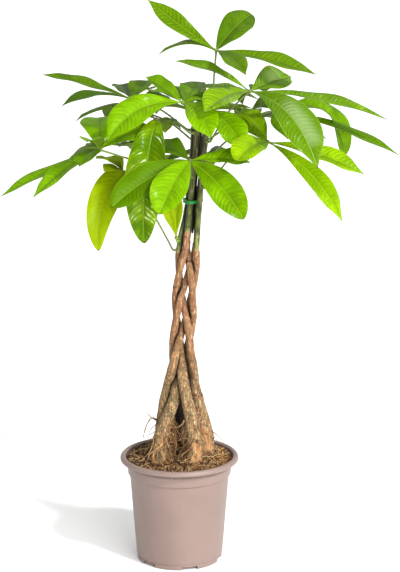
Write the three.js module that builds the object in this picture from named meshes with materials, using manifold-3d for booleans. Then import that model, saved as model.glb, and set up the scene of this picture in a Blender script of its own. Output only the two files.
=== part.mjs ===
// A potted money tree: five young stems braided into one trunk, standing in a tapered nursery pot
// that is full of soil, with a crown of long-stalked leaves that each spread three to seven leaflets.
// Millimetres, +Z up. The origin is the middle of the flat foot of the pot and the front is -Y.
import * as THREE from "three";
import { mergeVertices } from "three/addons/utils/BufferGeometryUtils.js";
import Module from "manifold-3d";

const wasm = await Module();
wasm.setup();

// Clearance that touching pieces keep.
const GAP = 0.35;

// Points of one geometry that lie closer than this are one point.
const MERGE_DISTANCE = 1e-4;
// Compass angle of the front, where 0 is right and 90 is back.
const FRONT = -90;

// Pot: a thin moulded wall with a rolled rim, a collar under it and a stepped foot.
const POT_HEIGHT = 155;
const POT_RIM_RADIUS = 85;
const POT_RIM_DEPTH = 8;
const POT_MOUTH_RADIUS = 77.3;
const POT_COLLAR_TOP_RADIUS = 75.5;
const POT_COLLAR_LOW_RADIUS = 74;
const POT_COLLAR_LOW = 128;
const POT_WALL_TOP_RADIUS = 71.4;
const POT_FOOT_RADIUS = 61;
const POT_FOOT_HEIGHT = 6.5;
const POT_FLOOR = 3;
const POT_WALL = 2.1;
// The inside of the wall bends for the collar from this far under its edge to this far over it.
const POT_BEND_UNDER = 4;
const POT_BEND_OVER = 3;
// Small steps and bevels of the wall's outside, from the foot to the mouth.
const POT_FOOT_BEVEL = 1;
const POT_FOOT_DRAFT = 0.3;
const POT_FOOT_STEP_OUT = 0.9;
const POT_FOOT_STEP_UP = 0.8;
const POT_COLLAR_STEP = 0.7;
const POT_RIM_BEVEL = 1.5;
const POT_RIM_ROUND = 2.4;
const POT_MOUTH_BEVEL = 1.3;
// Inside, the wall is upright up to its neck and flares from there to the mouth.
const POT_NECK_Z = 146;
const POT_SIDES = 36;
// How far the flat sides of the turned wall stand inside its true circle.
const POT_FACET = POT_COLLAR_TOP_RADIUS * (1 - Math.cos(Math.PI / POT_SIDES));
const DRAIN_COUNT = 6;
const DRAIN_WIDTH = 24;
const DRAIN_HEIGHT = 5;
const DRAIN_DEPTH = 9;
// The drain that shows is this far round from the front, toward the right.
const DRAIN_TURN = 14;

// Soil: fills the pot to just under the rim, mounded toward the stems and lumpy on top.
const SOIL_EDGE_Z = 149.5;
const SOIL_MOUND = 2.2;
const SOIL_LUMP = 1.4;
// Spans of the two crossed waves: along each axis, and how slowly they bend across it.
const SOIL_WAVE = { x: 7, y: 6, bendX: 11, bendY: 9 };
// How late the mound falls off toward the wall, and how wide the flat strip there is.
const SOIL_FALL = 4;
const SOIL_STRIP = 1;
const SOIL_SIDES = 26;
const SOIL_RINGS = 5;

// Braid: each stem swings from side to side once for every two swings from front to back.
const BRAID_HALF_TURN = 167.5;
const BRAID_ZERO_Z = 475;
const BRAID_HIGH_Z = 458;
const FEET_Z = 172;
const TIE_Z = 525;
const STEM_BOTTOM_Z = 92;
const STEM_NECK_Z = 138;
const STEM_SIDES = 8;
const STEM_STEP = 15;
const SHOOT_SIDES = 8;
const SHOOT_STEP = 18;

// Heights and values that the trunk passes through from the soil up, as [height, value].
const TRUNK_LEAN = [
  [150, 1], [191, 2], [236, 4], [310, 4], [361, 7], [383, 7.5], [455, 13], [527, 20], [600, 28], [650, 32],
];
const SWING = [[236, 22.8], [251, 20.6], [280, 15.7], [310, 13.6], [345, 13.2], [385, 13]];
const DEPTH = [[236, 16.5], [251, 15], [280, 12.1], [310, 10.3], [345, 10.4], [385, 10.7]];
const STEM_RADIUS = [
  [92, 8], [138, 11], [152, 13], [176, 11.2], [205, 9.7], [236, 8.4], [251, 7.5],
  [280, 6], [310, 5], [345, 4.8], [385, 4.7],
];
const SHOOT_RADIUS = [[440, 4.5], [490, 4.2], [525, 4], [600, 3.9], [660, 3.6]];
const BUNDLE_RADIUS = [[458, 7.6], [525, 7.6], [600, 8.6], [650, 11]];

// The five stems: braid phase at BRAID_ZERO_Z in degrees, where the foot stands [right, back], the
// level where the stem leaves the braid for its foot, the level where it is as far back as its foot,
// where the brown bark ends, where the green shoot ends, and the shoot's place in the bundle.
const STEMS = [
  { phase: 0, foot: [22, -20.5], low: 318, fore: 258, bark: 484, top: 640, slot: 238 },
  { phase: 210, foot: [-27, -13], low: 259, fore: FEET_Z, bark: 470, top: 634, slot: 94 },
  { phase: 70, foot: [2, 20.5], low: 259, fore: FEET_Z, bark: 466, top: 646, slot: 22 },
  { phase: 291, foot: [38, 10], low: 259, fore: FEET_Z, bark: 453, top: 630, slot: 166 },
  { phase: 140, foot: [-24, 14], low: 259, fore: FEET_Z, bark: 458, top: 638, slot: 310 },
];
// The fifth shoot runs outside the tie, so it stands further out there.
const OUTER_SHOOT = 4;
const OUTER_SHOOT_RADIUS = [[458, 11], [500, 14], [525, 14.2], [550, 13.4], [600, 9.6], [650, 11]];

// Surface roots, each fused to its stem: the points it runs through as [right, back, up].
const ROOTS = [
  { stem: 0, radius: 3.4, path: [[24, -20, 162], [27, -29, 155], [26, -35, 147]] },
  {
    stem: 1,
    radius: 2.6,
    path: [[-19, -20, 184], [-27, -25, 175], [-36, -22, 165], [-37, -25, 157], [-34, -30, 147]],
  },
  {
    stem: 4,
    radius: 1.3,
    path: [[-28, 11, 196], [-38, 8, 207], [-45, 5, 201], [-50, 2, 188], [-52, 1, 179]],
  },
  { stem: 4, radius: 1, path: [[-34, 9, 203], [-41, 7.5, 208], [-47, 5, 217]] },
];
// Share of its width that a root loses on the way to its end.
const ROOT_TAPER = 0.45;
// A root that cuts the soil runs on past its end, by this many times the clearance.
const ROOT_RUN_ON = 3;
const ROOT_SIDES = 6;
const ROOT_STEPS = 5;

// Tie: plastic-covered wire wound twice round four of the shoots, with two short twisted ends.
const TIE_WIRE = 1.5;
const TIE_WINDINGS = 2;
const TIE_PITCH = 2.6;
const TIE_STEPS = 20;
const TIE_SIDES = 6;
const TIE_TAIL = [[19, 13, 525], [17, 18, 528], [19, 22, 534]];
const TIE_TAIL_STEPS = 3;

// Leaves: stalk, hub and blades.
const STALK_RADIUS = 1.5;
const STALK_FOOT_RADIUS = 2.1;
const STALK_GAP = 0.45;
const STALK_SEAT = 4.5;
// Shares of the way up a stalk: where it has turned toward its hub, and where it has thinned.
const STALK_TURNED = 0.12;
const STALK_THINNED = 0.25;
const STALK_BOW = 6;
const STALK_SIDES = 6;
const STALK_STEPS = 6;
const HUB_RADIUS = 3.4;
const HUB_SIDES = 6;
const HUB_LAYERS = 4;
const BLADE_THICKNESS = 0.8;
const BLADE_FOLD = 16;
const BLADE_BASE = 2.6;
const BLADE_TIP = 1.4;
// Sections of a blade, as shares of its swelling: it is widest at 0.5.
const BLADE_STATIONS = [0, 0.08, 0.26, 0.5, 0.78, 1];
// The higher the skew, the further past its middle a blade is widest. Below 1 that is near the hub.
const BLADE_SKEW = 1.45;
const EVEN_SHOULDERS = 0.95;
const HIGH_SHOULDERS = 0.6;
// The lower the fullness, the blunter the blade. A blunt one has one section more near its tip.
const BLADE_FULLNESS = 0.85;
const BLUNT = 0.6;
const BLUNT_STATION = 0.91;

// One leaflet: where its tip is from the hub [right, back, up], how wide it is, how far its back
// arches off the straight line, by how many degrees its upper face leans to the front, its fullness
// and its skew.
function leaflet(right, back, up, width, arch, lean, fullness = BLADE_FULLNESS, skew = BLADE_SKEW) {
  return { tip: [right, back, up], width, arch, lean, fullness, skew };
}

// The leaves: the shoot that carries the stalk, the height and the compass angle (0 is right, 90 is
// back) where the stalk leaves it, the hub where the leaflets meet, and the leaflets.
const LEAVES = {
  leaf_top: {
    shoot: 2, at: 640, angle: 20, bow: 0, hub: [52, 10, 736],
    leaflets: [
      leaflet(-94, 20, 67, 28, -2, 55),
      leaflet(-80, 15, -8, 30, 12, 0),
      leaflet(50, 75, 41, 42, 5, 60, BLUNT),
      leaflet(137, -10, -32, 32, 5, 25),
      leaflet(39, -80, -22, 32, 6, 20),
    ],
  },
  leaf_right_high: {
    shoot: 4, at: 612, angle: 335, hub: [98, -15, 683],
    leaflets: [
      leaflet(-103, 20, 39, 28, 8, 15),
      leaflet(59, 70, 10, 44, 3, 50),
      leaflet(190, 10, -41, 32, 9, 15),
      leaflet(-63, -85, -15, 44, 8, 30),
      leaflet(89, -100, -88, 54, 24, 38),
      leaflet(-87, 85, -13, 28, 6, 5),
      leaflet(25, 115, -19, 30, 6, 0),
    ],
  },
  leaf_right_back: {
    shoot: 2, at: 590, angle: 10, hub: [137, 25, 650],
    leaflets: [
      leaflet(172, -5, -63, 30, 6, 12),
      leaflet(98, 30, -69, 46, 36, 20, BLUNT),
      leaflet(-36, 70, -14, 40, 8, 45),
      leaflet(13, -60, -30, 38, 8, 30),
      leaflet(51, -20, -68, 44, 14, 35),
    ],
  },
  leaf_left_high: {
    shoot: 0, at: 632, angle: 240, hub: [6, -45, 672],
    leaflets: [
      leaflet(-102, -50, -45, 46, 20, 50),
      leaflet(-50, 10, 34, 34, 2, 20),
      leaflet(38, -60, -38, 44, 10, 40),
      leaflet(23, 85, 16, 36, 2, 10),
      leaflet(36, 30, -6, 30, 4, 10),
      leaflet(-47, 80, 3, 34, 6, 10),
    ],
  },
  leaf_right_low: {
    shoot: 4, at: 548, angle: 320, bow: 16, hub: [123, -30, 615],
    leaflets: [
      leaflet(132, -10, -43, 34, 7, 30),
      leaflet(100, -55, -99, 31, 14, 50),
      leaflet(-45, -90, -10, 44, 8, 45, BLUNT),
      leaflet(-33, 70, 37, 34, 2, 0),
      leaflet(-74, 48, 33, 34, 4, 10),
      leaflet(-53, 35, 14, 30, 5, 10),
    ],
  },
  leaf_middle: {
    shoot: 4, at: 632, angle: 265, bow: 2, hub: [42, -12, 658],
    leaflets: [
      leaflet(46, -50, -48, 42, 8, 45),
      leaflet(-26, 30, 13, 30, 5, 10),
      leaflet(60, 34, -4, 28, 2, 0),
      leaflet(-18, -55, -3, 32, 6, 0),
    ],
  },
  leaf_left_back: {
    shoot: 3, at: 626, angle: 155, hub: [-67, 30, 666],
    leaflets: [
      leaflet(-123, 10, 32, 32, 3, 12),
      leaflet(-93, -60, -1, 32, 10, 5),
      leaflet(-20, 90, 6, 34, 2, 0),
      leaflet(24, 60, 16, 36, 2, 10),
      leaflet(27, 95, -1, 34, 4, 0),
      leaflet(60, -10, -5, 30, 5, 5),
    ],
  },
  leaf_left_low: {
    shoot: 3, at: 560, angle: 190, bow: 0, hub: [-108, -50, 608],
    leaflets: [
      leaflet(-135, -20, -61, 30, 2, 12),
      leaflet(-86, -70, -52, 30, 6, 12),
      leaflet(-22, -100, -4, 34, 6, 10),
      leaflet(-5, 80, 31, 52, 8, 50),
      leaflet(71, 50, 23, 42, 6, 40),
      leaflet(-11, -105, 30, 34, 6, 10),
    ],
  },
  leaf_front: {
    shoot: 0, at: 562, angle: 250, hub: [16, -75, 598],
    leaflets: [
      leaflet(-41, -65, -61, 50, 6, 60, BLUNT),
      leaflet(-105, -40, -57, 44, 8, 55, BLUNT),
      leaflet(72, -55, -70, 46, 8, 60, BLUNT),
      leaflet(-57, 100, 0, 44, 6, 35),
      leaflet(82, 10, -5, 34, 4, 25),
    ],
  },
  leaf_left_hanging: {
    shoot: 0, at: 624, angle: 190, hub: [-31, -15, 644],
    leaflets: [
      leaflet(-16, -45, -165, 56, 20, 75, BLUNT, EVEN_SHOULDERS),
      leaflet(35, 2, -14, 26, 4, 5),
      leaflet(-53, 32, -1, 38, 8, 30),
      leaflet(12, 42, -26, 30, 5, 0),
    ],
  },
  leaf_left_yellow: {
    shoot: 3, at: 456, angle: 190, bow: 4, seat: 3, hub: [-77, 15, 564],
    leaflets: [
      leaflet(-35, -30, -106, 46, 18, 80, BLUNT, HIGH_SHOULDERS),
      leaflet(-36, -60, 31, 26, 6, 10),
      leaflet(-24, 50, 13, 24, 4, 10),
      leaflet(-26, -45, 10, 26, 5, 30),
      leaflet(38, 60, -6, 30, 6, 20),
    ],
  },
  leaf_back_left: {
    shoot: 1, at: 606, angle: 125, hub: [-50, 105, 635],
    leaflets: [
      leaflet(-100, 25, -18, 38, 12, 0),
      leaflet(-60, 85, -25, 42, 12, 0),
      leaflet(15, 100, -20, 42, 12, 0),
      leaflet(68, 45, -8, 36, 8, 0),
    ],
  },
  leaf_back_middle: {
    shoot: 1, at: 628, angle: 85, hub: [28, 120, 655],
    leaflets: [
      leaflet(-80, 50, -10, 38, 10, 0),
      leaflet(-15, 105, -32, 44, 14, 0),
      leaflet(65, 80, -25, 42, 12, 0),
      leaflet(85, -5, -4, 36, 8, 0),
    ],
  },
  leaf_back_right: {
    shoot: 2, at: 612, angle: 50, hub: [108, 100, 628],
    leaflets: [
      leaflet(105, 30, -38, 38, 12, 0),
      leaflet(70, 90, -42, 44, 14, 0),
      leaflet(-12, 100, -28, 42, 12, 0),
      leaflet(-70, 30, 2, 34, 8, 0),
      leaflet(60, -50, -12, 34, 8, 0),
    ],
  },
  leaf_back_low: {
    shoot: 1, at: 560, angle: 80, hub: [40, 90, 575],
    leaflets: [
      leaflet(-75, 50, -35, 42, 12, 0),
      leaflet(-5, 95, -48, 46, 14, 0),
      leaflet(48, 80, -22, 38, 10, 0),
      leaflet(60, -10, -6, 34, 8, 0),
      leaflet(-60, -20, -8, 34, 6, 0),
    ],
  },
  leaf_left_back_low: {
    shoot: 3, at: 586, angle: 140, hub: [-85, 85, 590],
    leaflets: [
      leaflet(-78, 18, -30, 36, 10, 0),
      leaflet(-45, 85, -35, 42, 12, 0),
      leaflet(30, 85, -38, 40, 12, 0),
      leaflet(62, 5, -10, 34, 8, 0),
    ],
  },
  leaf_young: {
    shoot: 3, at: 470, angle: 245, bow: 0, hub: [-3.5, -12, 476],
    leaflets: [
      leaflet(-20, -4, 58, 17, 2, 80),
      leaflet(2, 4, 66, 18, 2, 80),
      leaflet(-9, 12, 52, 14, 2, 60),
    ],
  },
};

// Colour and roughness of what each sub-part is made of.
const PLASTIC = { color: "#bea59b", roughness: 0.5 };
const PEAT = { color: "#4a3628", roughness: 0.95 };
const BARK = { color: "#a98b72", roughness: 0.85 };
const GREEN_SKIN = { color: "#6f7f48", roughness: 0.6 };
const TIE_PLASTIC = { color: "#0a8a44", roughness: 0.45 };
const LEAF_GREEN = { color: "#7ea820", roughness: 0.4 };
// Leaves that are not the common fresh green.
const LEAF_SKINS = {
  leaf_left_hanging: { color: "#47701c", roughness: 0.35 },
  leaf_left_yellow: { color: "#a5bd10", roughness: 0.45 },
  leaf_young: { color: "#93b82a", roughness: 0.45 },
};

// Straight-line lookup in a list of [height, value] pairs.
function lookup(table, z) {
  if (z <= table[0][0]) return table[0][1];
  for (let i = 1; i < table.length; i += 1) {
    const [z0, v0] = table[i - 1];
    const [z1, v1] = table[i];
    if (z <= z1) return THREE.MathUtils.mapLinear(z, z0, z1, v0, v1);
  }
  return table[table.length - 1][1];
}

// The closed surface through a row of equal rings of points, each ring with an even count. The
// second half of a ring is split along the same diagonals as the first, so that the two faces of a
// thin blade match. Each end is closed by strips from one half of the ring to the other, or the
// last ring runs on into the first one.
function loft(rings, endless = false) {
  const count = rings[0].length;
  const half = count / 2;
  const triangles = [];
  const spans = endless ? rings.length : rings.length - 1;
  for (let i = 0; i < spans; i += 1) {
    const next = ((i + 1) % rings.length) * count;
    for (let j = 0; j < count; j += 1) {
      const a = i * count + j;
      const b = i * count + ((j + 1) % count);
      const c = next + j;
      const d = next + ((j + 1) % count);
      if (j < half) triangles.push(a, b, d, a, d, c);
      else triangles.push(a, b, c, b, d, c);
    }
  }
  const last = (rings.length - 1) * count;
  for (let j = 0; !endless && j + 1 < half; j += 1) {
    const k = count - 1 - j;
    triangles.push(j, k, j + 1, j + 1, k, k - 1);
    triangles.push(last + j, last + j + 1, last + k, last + j + 1, last + k - 1, last + k);
  }
  const geometry = new THREE.BufferGeometry();
  geometry.setFromPoints(rings.flat());
  geometry.setIndex(triangles);
  return geometry;
}

// A closed geometry as a solid that can be joined and cut.
function solidOf(geometry) {
  const bare = geometry.clone();
  bare.deleteAttribute("normal");
  bare.deleteAttribute("uv");
  const merged = mergeVertices(bare, MERGE_DISTANCE);
  return new wasm.Manifold(
    new wasm.Mesh({
      numProp: 3,
      vertProperties: merged.attributes.position.array,
      triVerts: new Uint32Array(merged.index.array),
    }),
  );
}

// A solid as a geometry that can be drawn.
function geometryOf(solid) {
  const mesh = solid.getMesh();
  const geometry = new THREE.BufferGeometry();
  geometry.setAttribute("position", new THREE.BufferAttribute(mesh.vertProperties, 3));
  geometry.setIndex(new THREE.BufferAttribute(mesh.triVerts, 1));
  geometry.computeVertexNormals();
  return geometry;
}

// A level ring of points round a centre.
function levelRing(centre, radius, sides) {
  return Array.from({ length: sides }, (_, i) => {
    const turn = (2 * Math.PI * (i + 0.5)) / sides;
    return new THREE.Vector3(
      centre.x + radius * Math.cos(turn),
      centre.y + radius * Math.sin(turn),
      centre.z,
    );
  });
}

// A round tube along a curve, with a radius that depends on how far along it is.
function tube(curve, steps, sides, radiusAt) {
  const frames = curve.computeFrenetFrames(steps, false);
  const rings = [];
  for (let i = 0; i <= steps; i += 1) {
    const centre = curve.getPointAt(i / steps);
    const radius = radiusAt(i / steps);
    rings.push(
      Array.from({ length: sides }, (_, j) => {
        const turn = (2 * Math.PI * j) / sides;
        return centre
          .clone()
          .addScaledVector(frames.normals[i], radius * Math.cos(turn))
          .addScaledVector(frames.binormals[i], radius * Math.sin(turn));
      }),
    );
  }
  return loft(rings);
}

// Middle of a stem or shoot at a height: feet apart in the soil, then the braid, then the bundle.
function strandCentre(index, z) {
  const stem = STEMS[index];
  const lean = lookup(TRUNK_LEAN, z);
  const braidZ = THREE.MathUtils.clamp(z, stem.low, BRAID_HIGH_Z);
  const phase = THREE.MathUtils.degToRad(
    stem.phase + (180 * (braidZ - BRAID_ZERO_Z)) / BRAID_HALF_TURN,
  );
  const place = new THREE.Vector3(
    lean + lookup(SWING, z) * Math.sin(phase),
    lookup(DEPTH, z) * Math.sin(2 * phase),
    z,
  );
  const sideways = THREE.MathUtils.smoothstep(z, FEET_Z, stem.low);
  const backward = THREE.MathUtils.smoothstep(z, stem.fore, stem.low);
  place.x = THREE.MathUtils.lerp(stem.foot[0], place.x, sideways);
  place.y = THREE.MathUtils.lerp(stem.foot[1], place.y, backward);
  if (z > BRAID_HIGH_Z) {
    const radius = lookup(index === OUTER_SHOOT ? OUTER_SHOOT_RADIUS : BUNDLE_RADIUS, z);
    const turn = THREE.MathUtils.degToRad(stem.slot);
    const slot = new THREE.Vector3(lean + radius * Math.cos(turn), radius * Math.sin(turn), z);
    place.lerp(slot, THREE.MathUtils.smoothstep(z, BRAID_HIGH_Z, TIE_Z));
  }
  return place;
}

// Even heights from one level to another, no further apart than a step.
function heights(from, to, step) {
  const count = Math.ceil((to - from) / step);
  return Array.from({ length: count + 1 }, (_, i) => from + ((to - from) * i) / count);
}

// A bark-covered stem with its surface roots, grown by a clearance where it is used as a cutter.
function stemSolid(index, clearance) {
  const levels = [STEM_BOTTOM_Z - clearance, ...heights(STEM_NECK_Z, STEMS[index].bark, STEM_STEP)];
  const rings = levels.map((z) =>
    levelRing(strandCentre(index, z), lookup(STEM_RADIUS, z) + clearance, STEM_SIDES),
  );
  let solid = solidOf(loft(rings));
  for (const root of ROOTS.filter((r) => r.stem === index)) {
    const points = root.path.map((p) => new THREE.Vector3(...p));
    const onward = points.at(-1).clone().sub(points.at(-2)).normalize();
    points.at(-1).addScaledVector(onward, ROOT_RUN_ON * clearance);
    const taper = (u) => root.radius * (1 - ROOT_TAPER * u) + clearance;
    const curve = new THREE.CatmullRomCurve3(points);
    solid = solid.add(solidOf(tube(curve, ROOT_STEPS, ROOT_SIDES, taper)));
  }
  return solid;
}

function shootSolid(index) {
  const { bark, top } = STEMS[index];
  const rings = heights(bark + GAP, top, SHOOT_STEP).map((z) =>
    levelRing(strandCentre(index, z), lookup(SHOOT_RADIUS, z), SHOOT_SIDES),
  );
  return solidOf(loft(rings));
}

// A winding follows the outline that a string pulled round the four tied shoots would have.
function windingSolid(level) {
  const held = STEMS.map((_, i) => i).filter((i) => i !== OUTER_SHOOT);
  const reach = lookup(SHOOT_RADIUS, level) + GAP + TIE_WIRE;
  const centres = held.map((i) => strandCentre(i, level));
  const rings = [];
  for (let i = 0; i < TIE_STEPS; i += 1) {
    const turn = (2 * Math.PI * i) / TIE_STEPS;
    const out = new THREE.Vector3(Math.cos(turn), Math.sin(turn), 0);
    const outermost = centres.reduce((a, b) => (a.dot(out) > b.dot(out) ? a : b));
    const centre = outermost.clone().addScaledVector(out, reach);
    rings.push(
      Array.from({ length: TIE_SIDES }, (_, j) => {
        const roll = (2 * Math.PI * j) / TIE_SIDES;
        return centre
          .clone()
          .addScaledVector(out, TIE_WIRE * Math.cos(roll))
          .setZ(level - TIE_WIRE * Math.sin(roll));
      }),
    );
  }
  return solidOf(loft(rings, true));
}

function tieSolid() {
  const tail = new THREE.CatmullRomCurve3(TIE_TAIL.map((p) => new THREE.Vector3(...p)));
  const ends = solidOf(tube(tail, TIE_TAIL_STEPS, TIE_SIDES, () => TIE_WIRE));
  const levels = Array.from({ length: TIE_WINDINGS }, (_, n) => TIE_Z + n * TIE_PITCH);
  return levels.reduce((tie, level) => tie.add(windingSolid(level)), ends);
}

// Radii and heights of the inside of the wall, from the floor up to its neck.
function insideWall(clearance) {
  return [
    [POT_FOOT_RADIUS - POT_WALL - clearance, POT_FLOOR + clearance],
    [POT_WALL_TOP_RADIUS - POT_WALL - clearance, POT_COLLAR_LOW - POT_BEND_UNDER],
    [POT_COLLAR_LOW_RADIUS - POT_WALL - clearance, POT_COLLAR_LOW + POT_BEND_OVER],
    [POT_COLLAR_TOP_RADIUS - POT_WALL - clearance, POT_NECK_Z],
  ];
}

// Each lathe profile runs from the axis at the foot, up the outside and back to the axis.
function potSolid() {
  const rimLow = POT_HEIGHT - POT_RIM_DEPTH;
  const footTop = POT_FOOT_RADIUS + POT_FOOT_DRAFT;
  const profile = [
    [0, 0],
    [POT_FOOT_RADIUS - POT_FOOT_BEVEL, 0],
    [POT_FOOT_RADIUS, POT_FOOT_BEVEL],
    [footTop, POT_FOOT_HEIGHT],
    [footTop + POT_FOOT_STEP_OUT, POT_FOOT_HEIGHT + POT_FOOT_STEP_UP],
    [POT_WALL_TOP_RADIUS, POT_COLLAR_LOW - POT_COLLAR_STEP],
    [POT_COLLAR_LOW_RADIUS, POT_COLLAR_LOW + POT_COLLAR_STEP],
    [POT_COLLAR_TOP_RADIUS, rimLow],
    [POT_RIM_RADIUS - POT_RIM_BEVEL, rimLow],
    [POT_RIM_RADIUS, rimLow + POT_RIM_BEVEL],
    [POT_RIM_RADIUS, POT_HEIGHT - POT_RIM_ROUND],
    [POT_RIM_RADIUS - POT_RIM_ROUND, POT_HEIGHT],
    [POT_MOUTH_RADIUS + POT_MOUTH_BEVEL, POT_HEIGHT],
    [POT_MOUTH_RADIUS, POT_HEIGHT - POT_MOUTH_BEVEL],
    ...insideWall(0).reverse(),
    [0, POT_FLOOR],
  ];
  let solid = solidOf(turned(profile, POT_SIDES));
  for (let i = 0; i < DRAIN_COUNT; i += 1) {
    const slot = new THREE.BoxGeometry(2 * DRAIN_DEPTH, DRAIN_WIDTH, 2 * DRAIN_HEIGHT)
      .translate(POT_FOOT_RADIUS, 0, 0)
      .rotateZ(THREE.MathUtils.degToRad(FRONT + DRAIN_TURN + (360 * i) / DRAIN_COUNT));
    solid = solid.subtract(solidOf(slot));
  }
  return solid;
}

// A profile of [radius, height] pairs turned about the vertical axis.
function turned(profile, sides) {
  const points = profile.map(([r, z]) => new THREE.Vector2(r, z));
  return new THREE.LatheGeometry(points, sides).rotateX(Math.PI / 2);
}

// Height of the soil: a low mound with lumps that two crossed waves make, flat at the wall.
function soilHeight(x, y) {
  const share = Math.min(Math.hypot(x, y) / POT_COLLAR_TOP_RADIUS, 1);
  const along = Math.sin(x / SOIL_WAVE.x + Math.sin(y / SOIL_WAVE.bendY));
  const across = Math.cos(y / SOIL_WAVE.y - Math.sin(x / SOIL_WAVE.bendX));
  return SOIL_EDGE_Z + (SOIL_MOUND + SOIL_LUMP * along * across) * (1 - share ** SOIL_FALL);
}

function soilSolid() {
  const wall = insideWall(GAP + POT_FACET);
  const neck = wall[wall.length - 1][0];
  const flared = (SOIL_EDGE_Z - POT_NECK_Z) / (POT_HEIGHT - POT_MOUTH_BEVEL - POT_NECK_Z);
  const edge = THREE.MathUtils.lerp(neck, POT_MOUTH_RADIUS - GAP - POT_FACET, flared);
  const rings = Array.from({ length: SOIL_RINGS }, (_, i) => [
    (edge * (SOIL_RINGS - 1 - i)) / SOIL_RINGS,
    SOIL_EDGE_Z,
  ]);
  const geometry = turned([[0, wall[0][1]], ...wall, [edge, SOIL_EDGE_Z], ...rings], SOIL_SIDES);
  const place = geometry.attributes.position;
  for (let i = 0; i < place.count; i += 1) {
    const x = place.getX(i);
    const y = place.getY(i);
    if (place.getZ(i) >= SOIL_EDGE_Z && Math.hypot(x, y) < edge - SOIL_STRIP) {
      place.setZ(i, soilHeight(x, y));
    }
  }
  return STEMS.reduce((soil, _, i) => soil.subtract(stemSolid(i, GAP)), solidOf(geometry));
}

// Half width of a blade along its length, from the narrow base to the narrow tip.
function halfWidth(u, { width, fullness, skew }) {
  const swell = Math.sin(Math.PI * u ** skew) ** fullness;
  return Math.max(THREE.MathUtils.lerp(BLADE_BASE, BLADE_TIP, u), width * swell) / 2;
}

// One thin blade: its back is an arched curve from the hub to the tip, and its two halves rise
// from the midrib like a shallow trough.
function bladeSolid(hub, spec) {
  const { tip, arch, lean, fullness, skew } = spec;
  const end = new THREE.Vector3(...tip).add(hub);
  const along = new THREE.Vector3(...tip).normalize();
  const rise = new THREE.Vector3(0, 0, 1).addScaledVector(along, -along.z).normalize();
  const bend = hub.clone().lerp(end, 0.5).addScaledVector(rise, 2 * arch);
  const back = new THREE.QuadraticBezierCurve3(hub, bend, end);
  const leanAngle = THREE.MathUtils.degToRad(lean);
  const foldAngle = THREE.MathUtils.degToRad(BLADE_FOLD);
  const facing = new THREE.Vector3(0, -Math.sin(leanAngle), Math.cos(leanAngle));
  const extra = fullness < BLADE_FULLNESS ? [BLUNT_STATION] : [];
  const stations = [...BLADE_STATIONS, ...extra].sort((a, b) => a - b);
  const rings = stations.map((station) => {
    const u = station ** (1 / skew);
    const middle = back.getPoint(u);
    const run = back.getTangent(u);
    const up = facing.clone().addScaledVector(run, -facing.dot(run)).normalize();
    const side = new THREE.Vector3().crossVectors(run, up);
    const half = halfWidth(u, spec);
    const edge = (sign) =>
      middle
        .clone()
        .addScaledVector(side, sign * half * Math.cos(foldAngle))
        .addScaledVector(up, half * Math.sin(foldAngle));
    const face = [edge(-1), middle, edge(1)];
    const under = face.map((p) => p.clone().addScaledVector(up, -BLADE_THICKNESS));
    return [...face, ...under.reverse()];
  });
  return solidOf(loft(rings));
}

// A leaf grown as one piece: the stalk comes straight out of its shoot, turns toward the hub at once
// with its middle bowed upward, and carries the leaflets there on a small knob.
function leafSolid({ shoot, at, angle, bow = STALK_BOW, seat = STALK_SEAT, hub, leaflets }) {
  const turn = THREE.MathUtils.degToRad(angle);
  const out = new THREE.Vector3(Math.cos(turn), Math.sin(turn), 0);
  const start = lookup(SHOOT_RADIUS, at) + STALK_GAP;
  const foot = strandCentre(shoot, at).addScaledVector(out, start);
  const top = new THREE.Vector3(...hub);
  const bend = foot.clone().addScaledVector(out, seat);
  const middle = foot.clone().lerp(top, 0.5).add(new THREE.Vector3(0, 0, bow));
  const turned = bend.clone().lerp(middle, 2 * STALK_TURNED);
  const stalk = new THREE.CatmullRomCurve3([foot, bend, turned, middle, top]);
  const taper = (u) =>
    THREE.MathUtils.lerp(STALK_FOOT_RADIUS, STALK_RADIUS, Math.min(u / STALK_THINNED, 1));
  const knob = new THREE.SphereGeometry(HUB_RADIUS, HUB_SIDES, HUB_LAYERS).translate(...hub);
  let solid = solidOf(tube(stalk, STALK_STEPS, STALK_SIDES, taper)).add(solidOf(knob));
  for (const spec of leaflets) solid = solid.add(bladeSolid(top, spec));
  return solid;
}

// A drawable sub-part with its own material.
function piece(name, solid, finish) {
  const material = new THREE.MeshStandardMaterial({ ...finish, metalness: 0 });
  const mesh = new THREE.Mesh(geometryOf(solid), material);
  mesh.name = name;
  return mesh;
}

const tree = new THREE.Group();
tree.add(piece("pot", potSolid(), PLASTIC));
tree.add(piece("soil", soilSolid(), PEAT));
STEMS.forEach((_, i) => {
  tree.add(piece(`stem_${i + 1}`, stemSolid(i, 0), BARK));
  tree.add(piece(`shoot_${i + 1}`, shootSolid(i), GREEN_SKIN));
});
tree.add(piece("tie", tieSolid(), TIE_PLASTIC));
for (const [name, leaf] of Object.entries(LEAVES)) {
  tree.add(piece(name, leafSolid(leaf), LEAF_SKINS[name] ?? LEAF_GREEN));
}

export default tree;
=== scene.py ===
"""Dresses the potted money tree: a braided trunk in a nursery pot under a crown of long-stalked leaves.

Metres, +Z up. The origin is the middle of the pot's flat foot and the front is toward -Y.
"""

import logging
import math
from dataclasses import dataclass
from enum import Enum
from itertools import combinations
from typing import Any, Callable, Sequence

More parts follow.
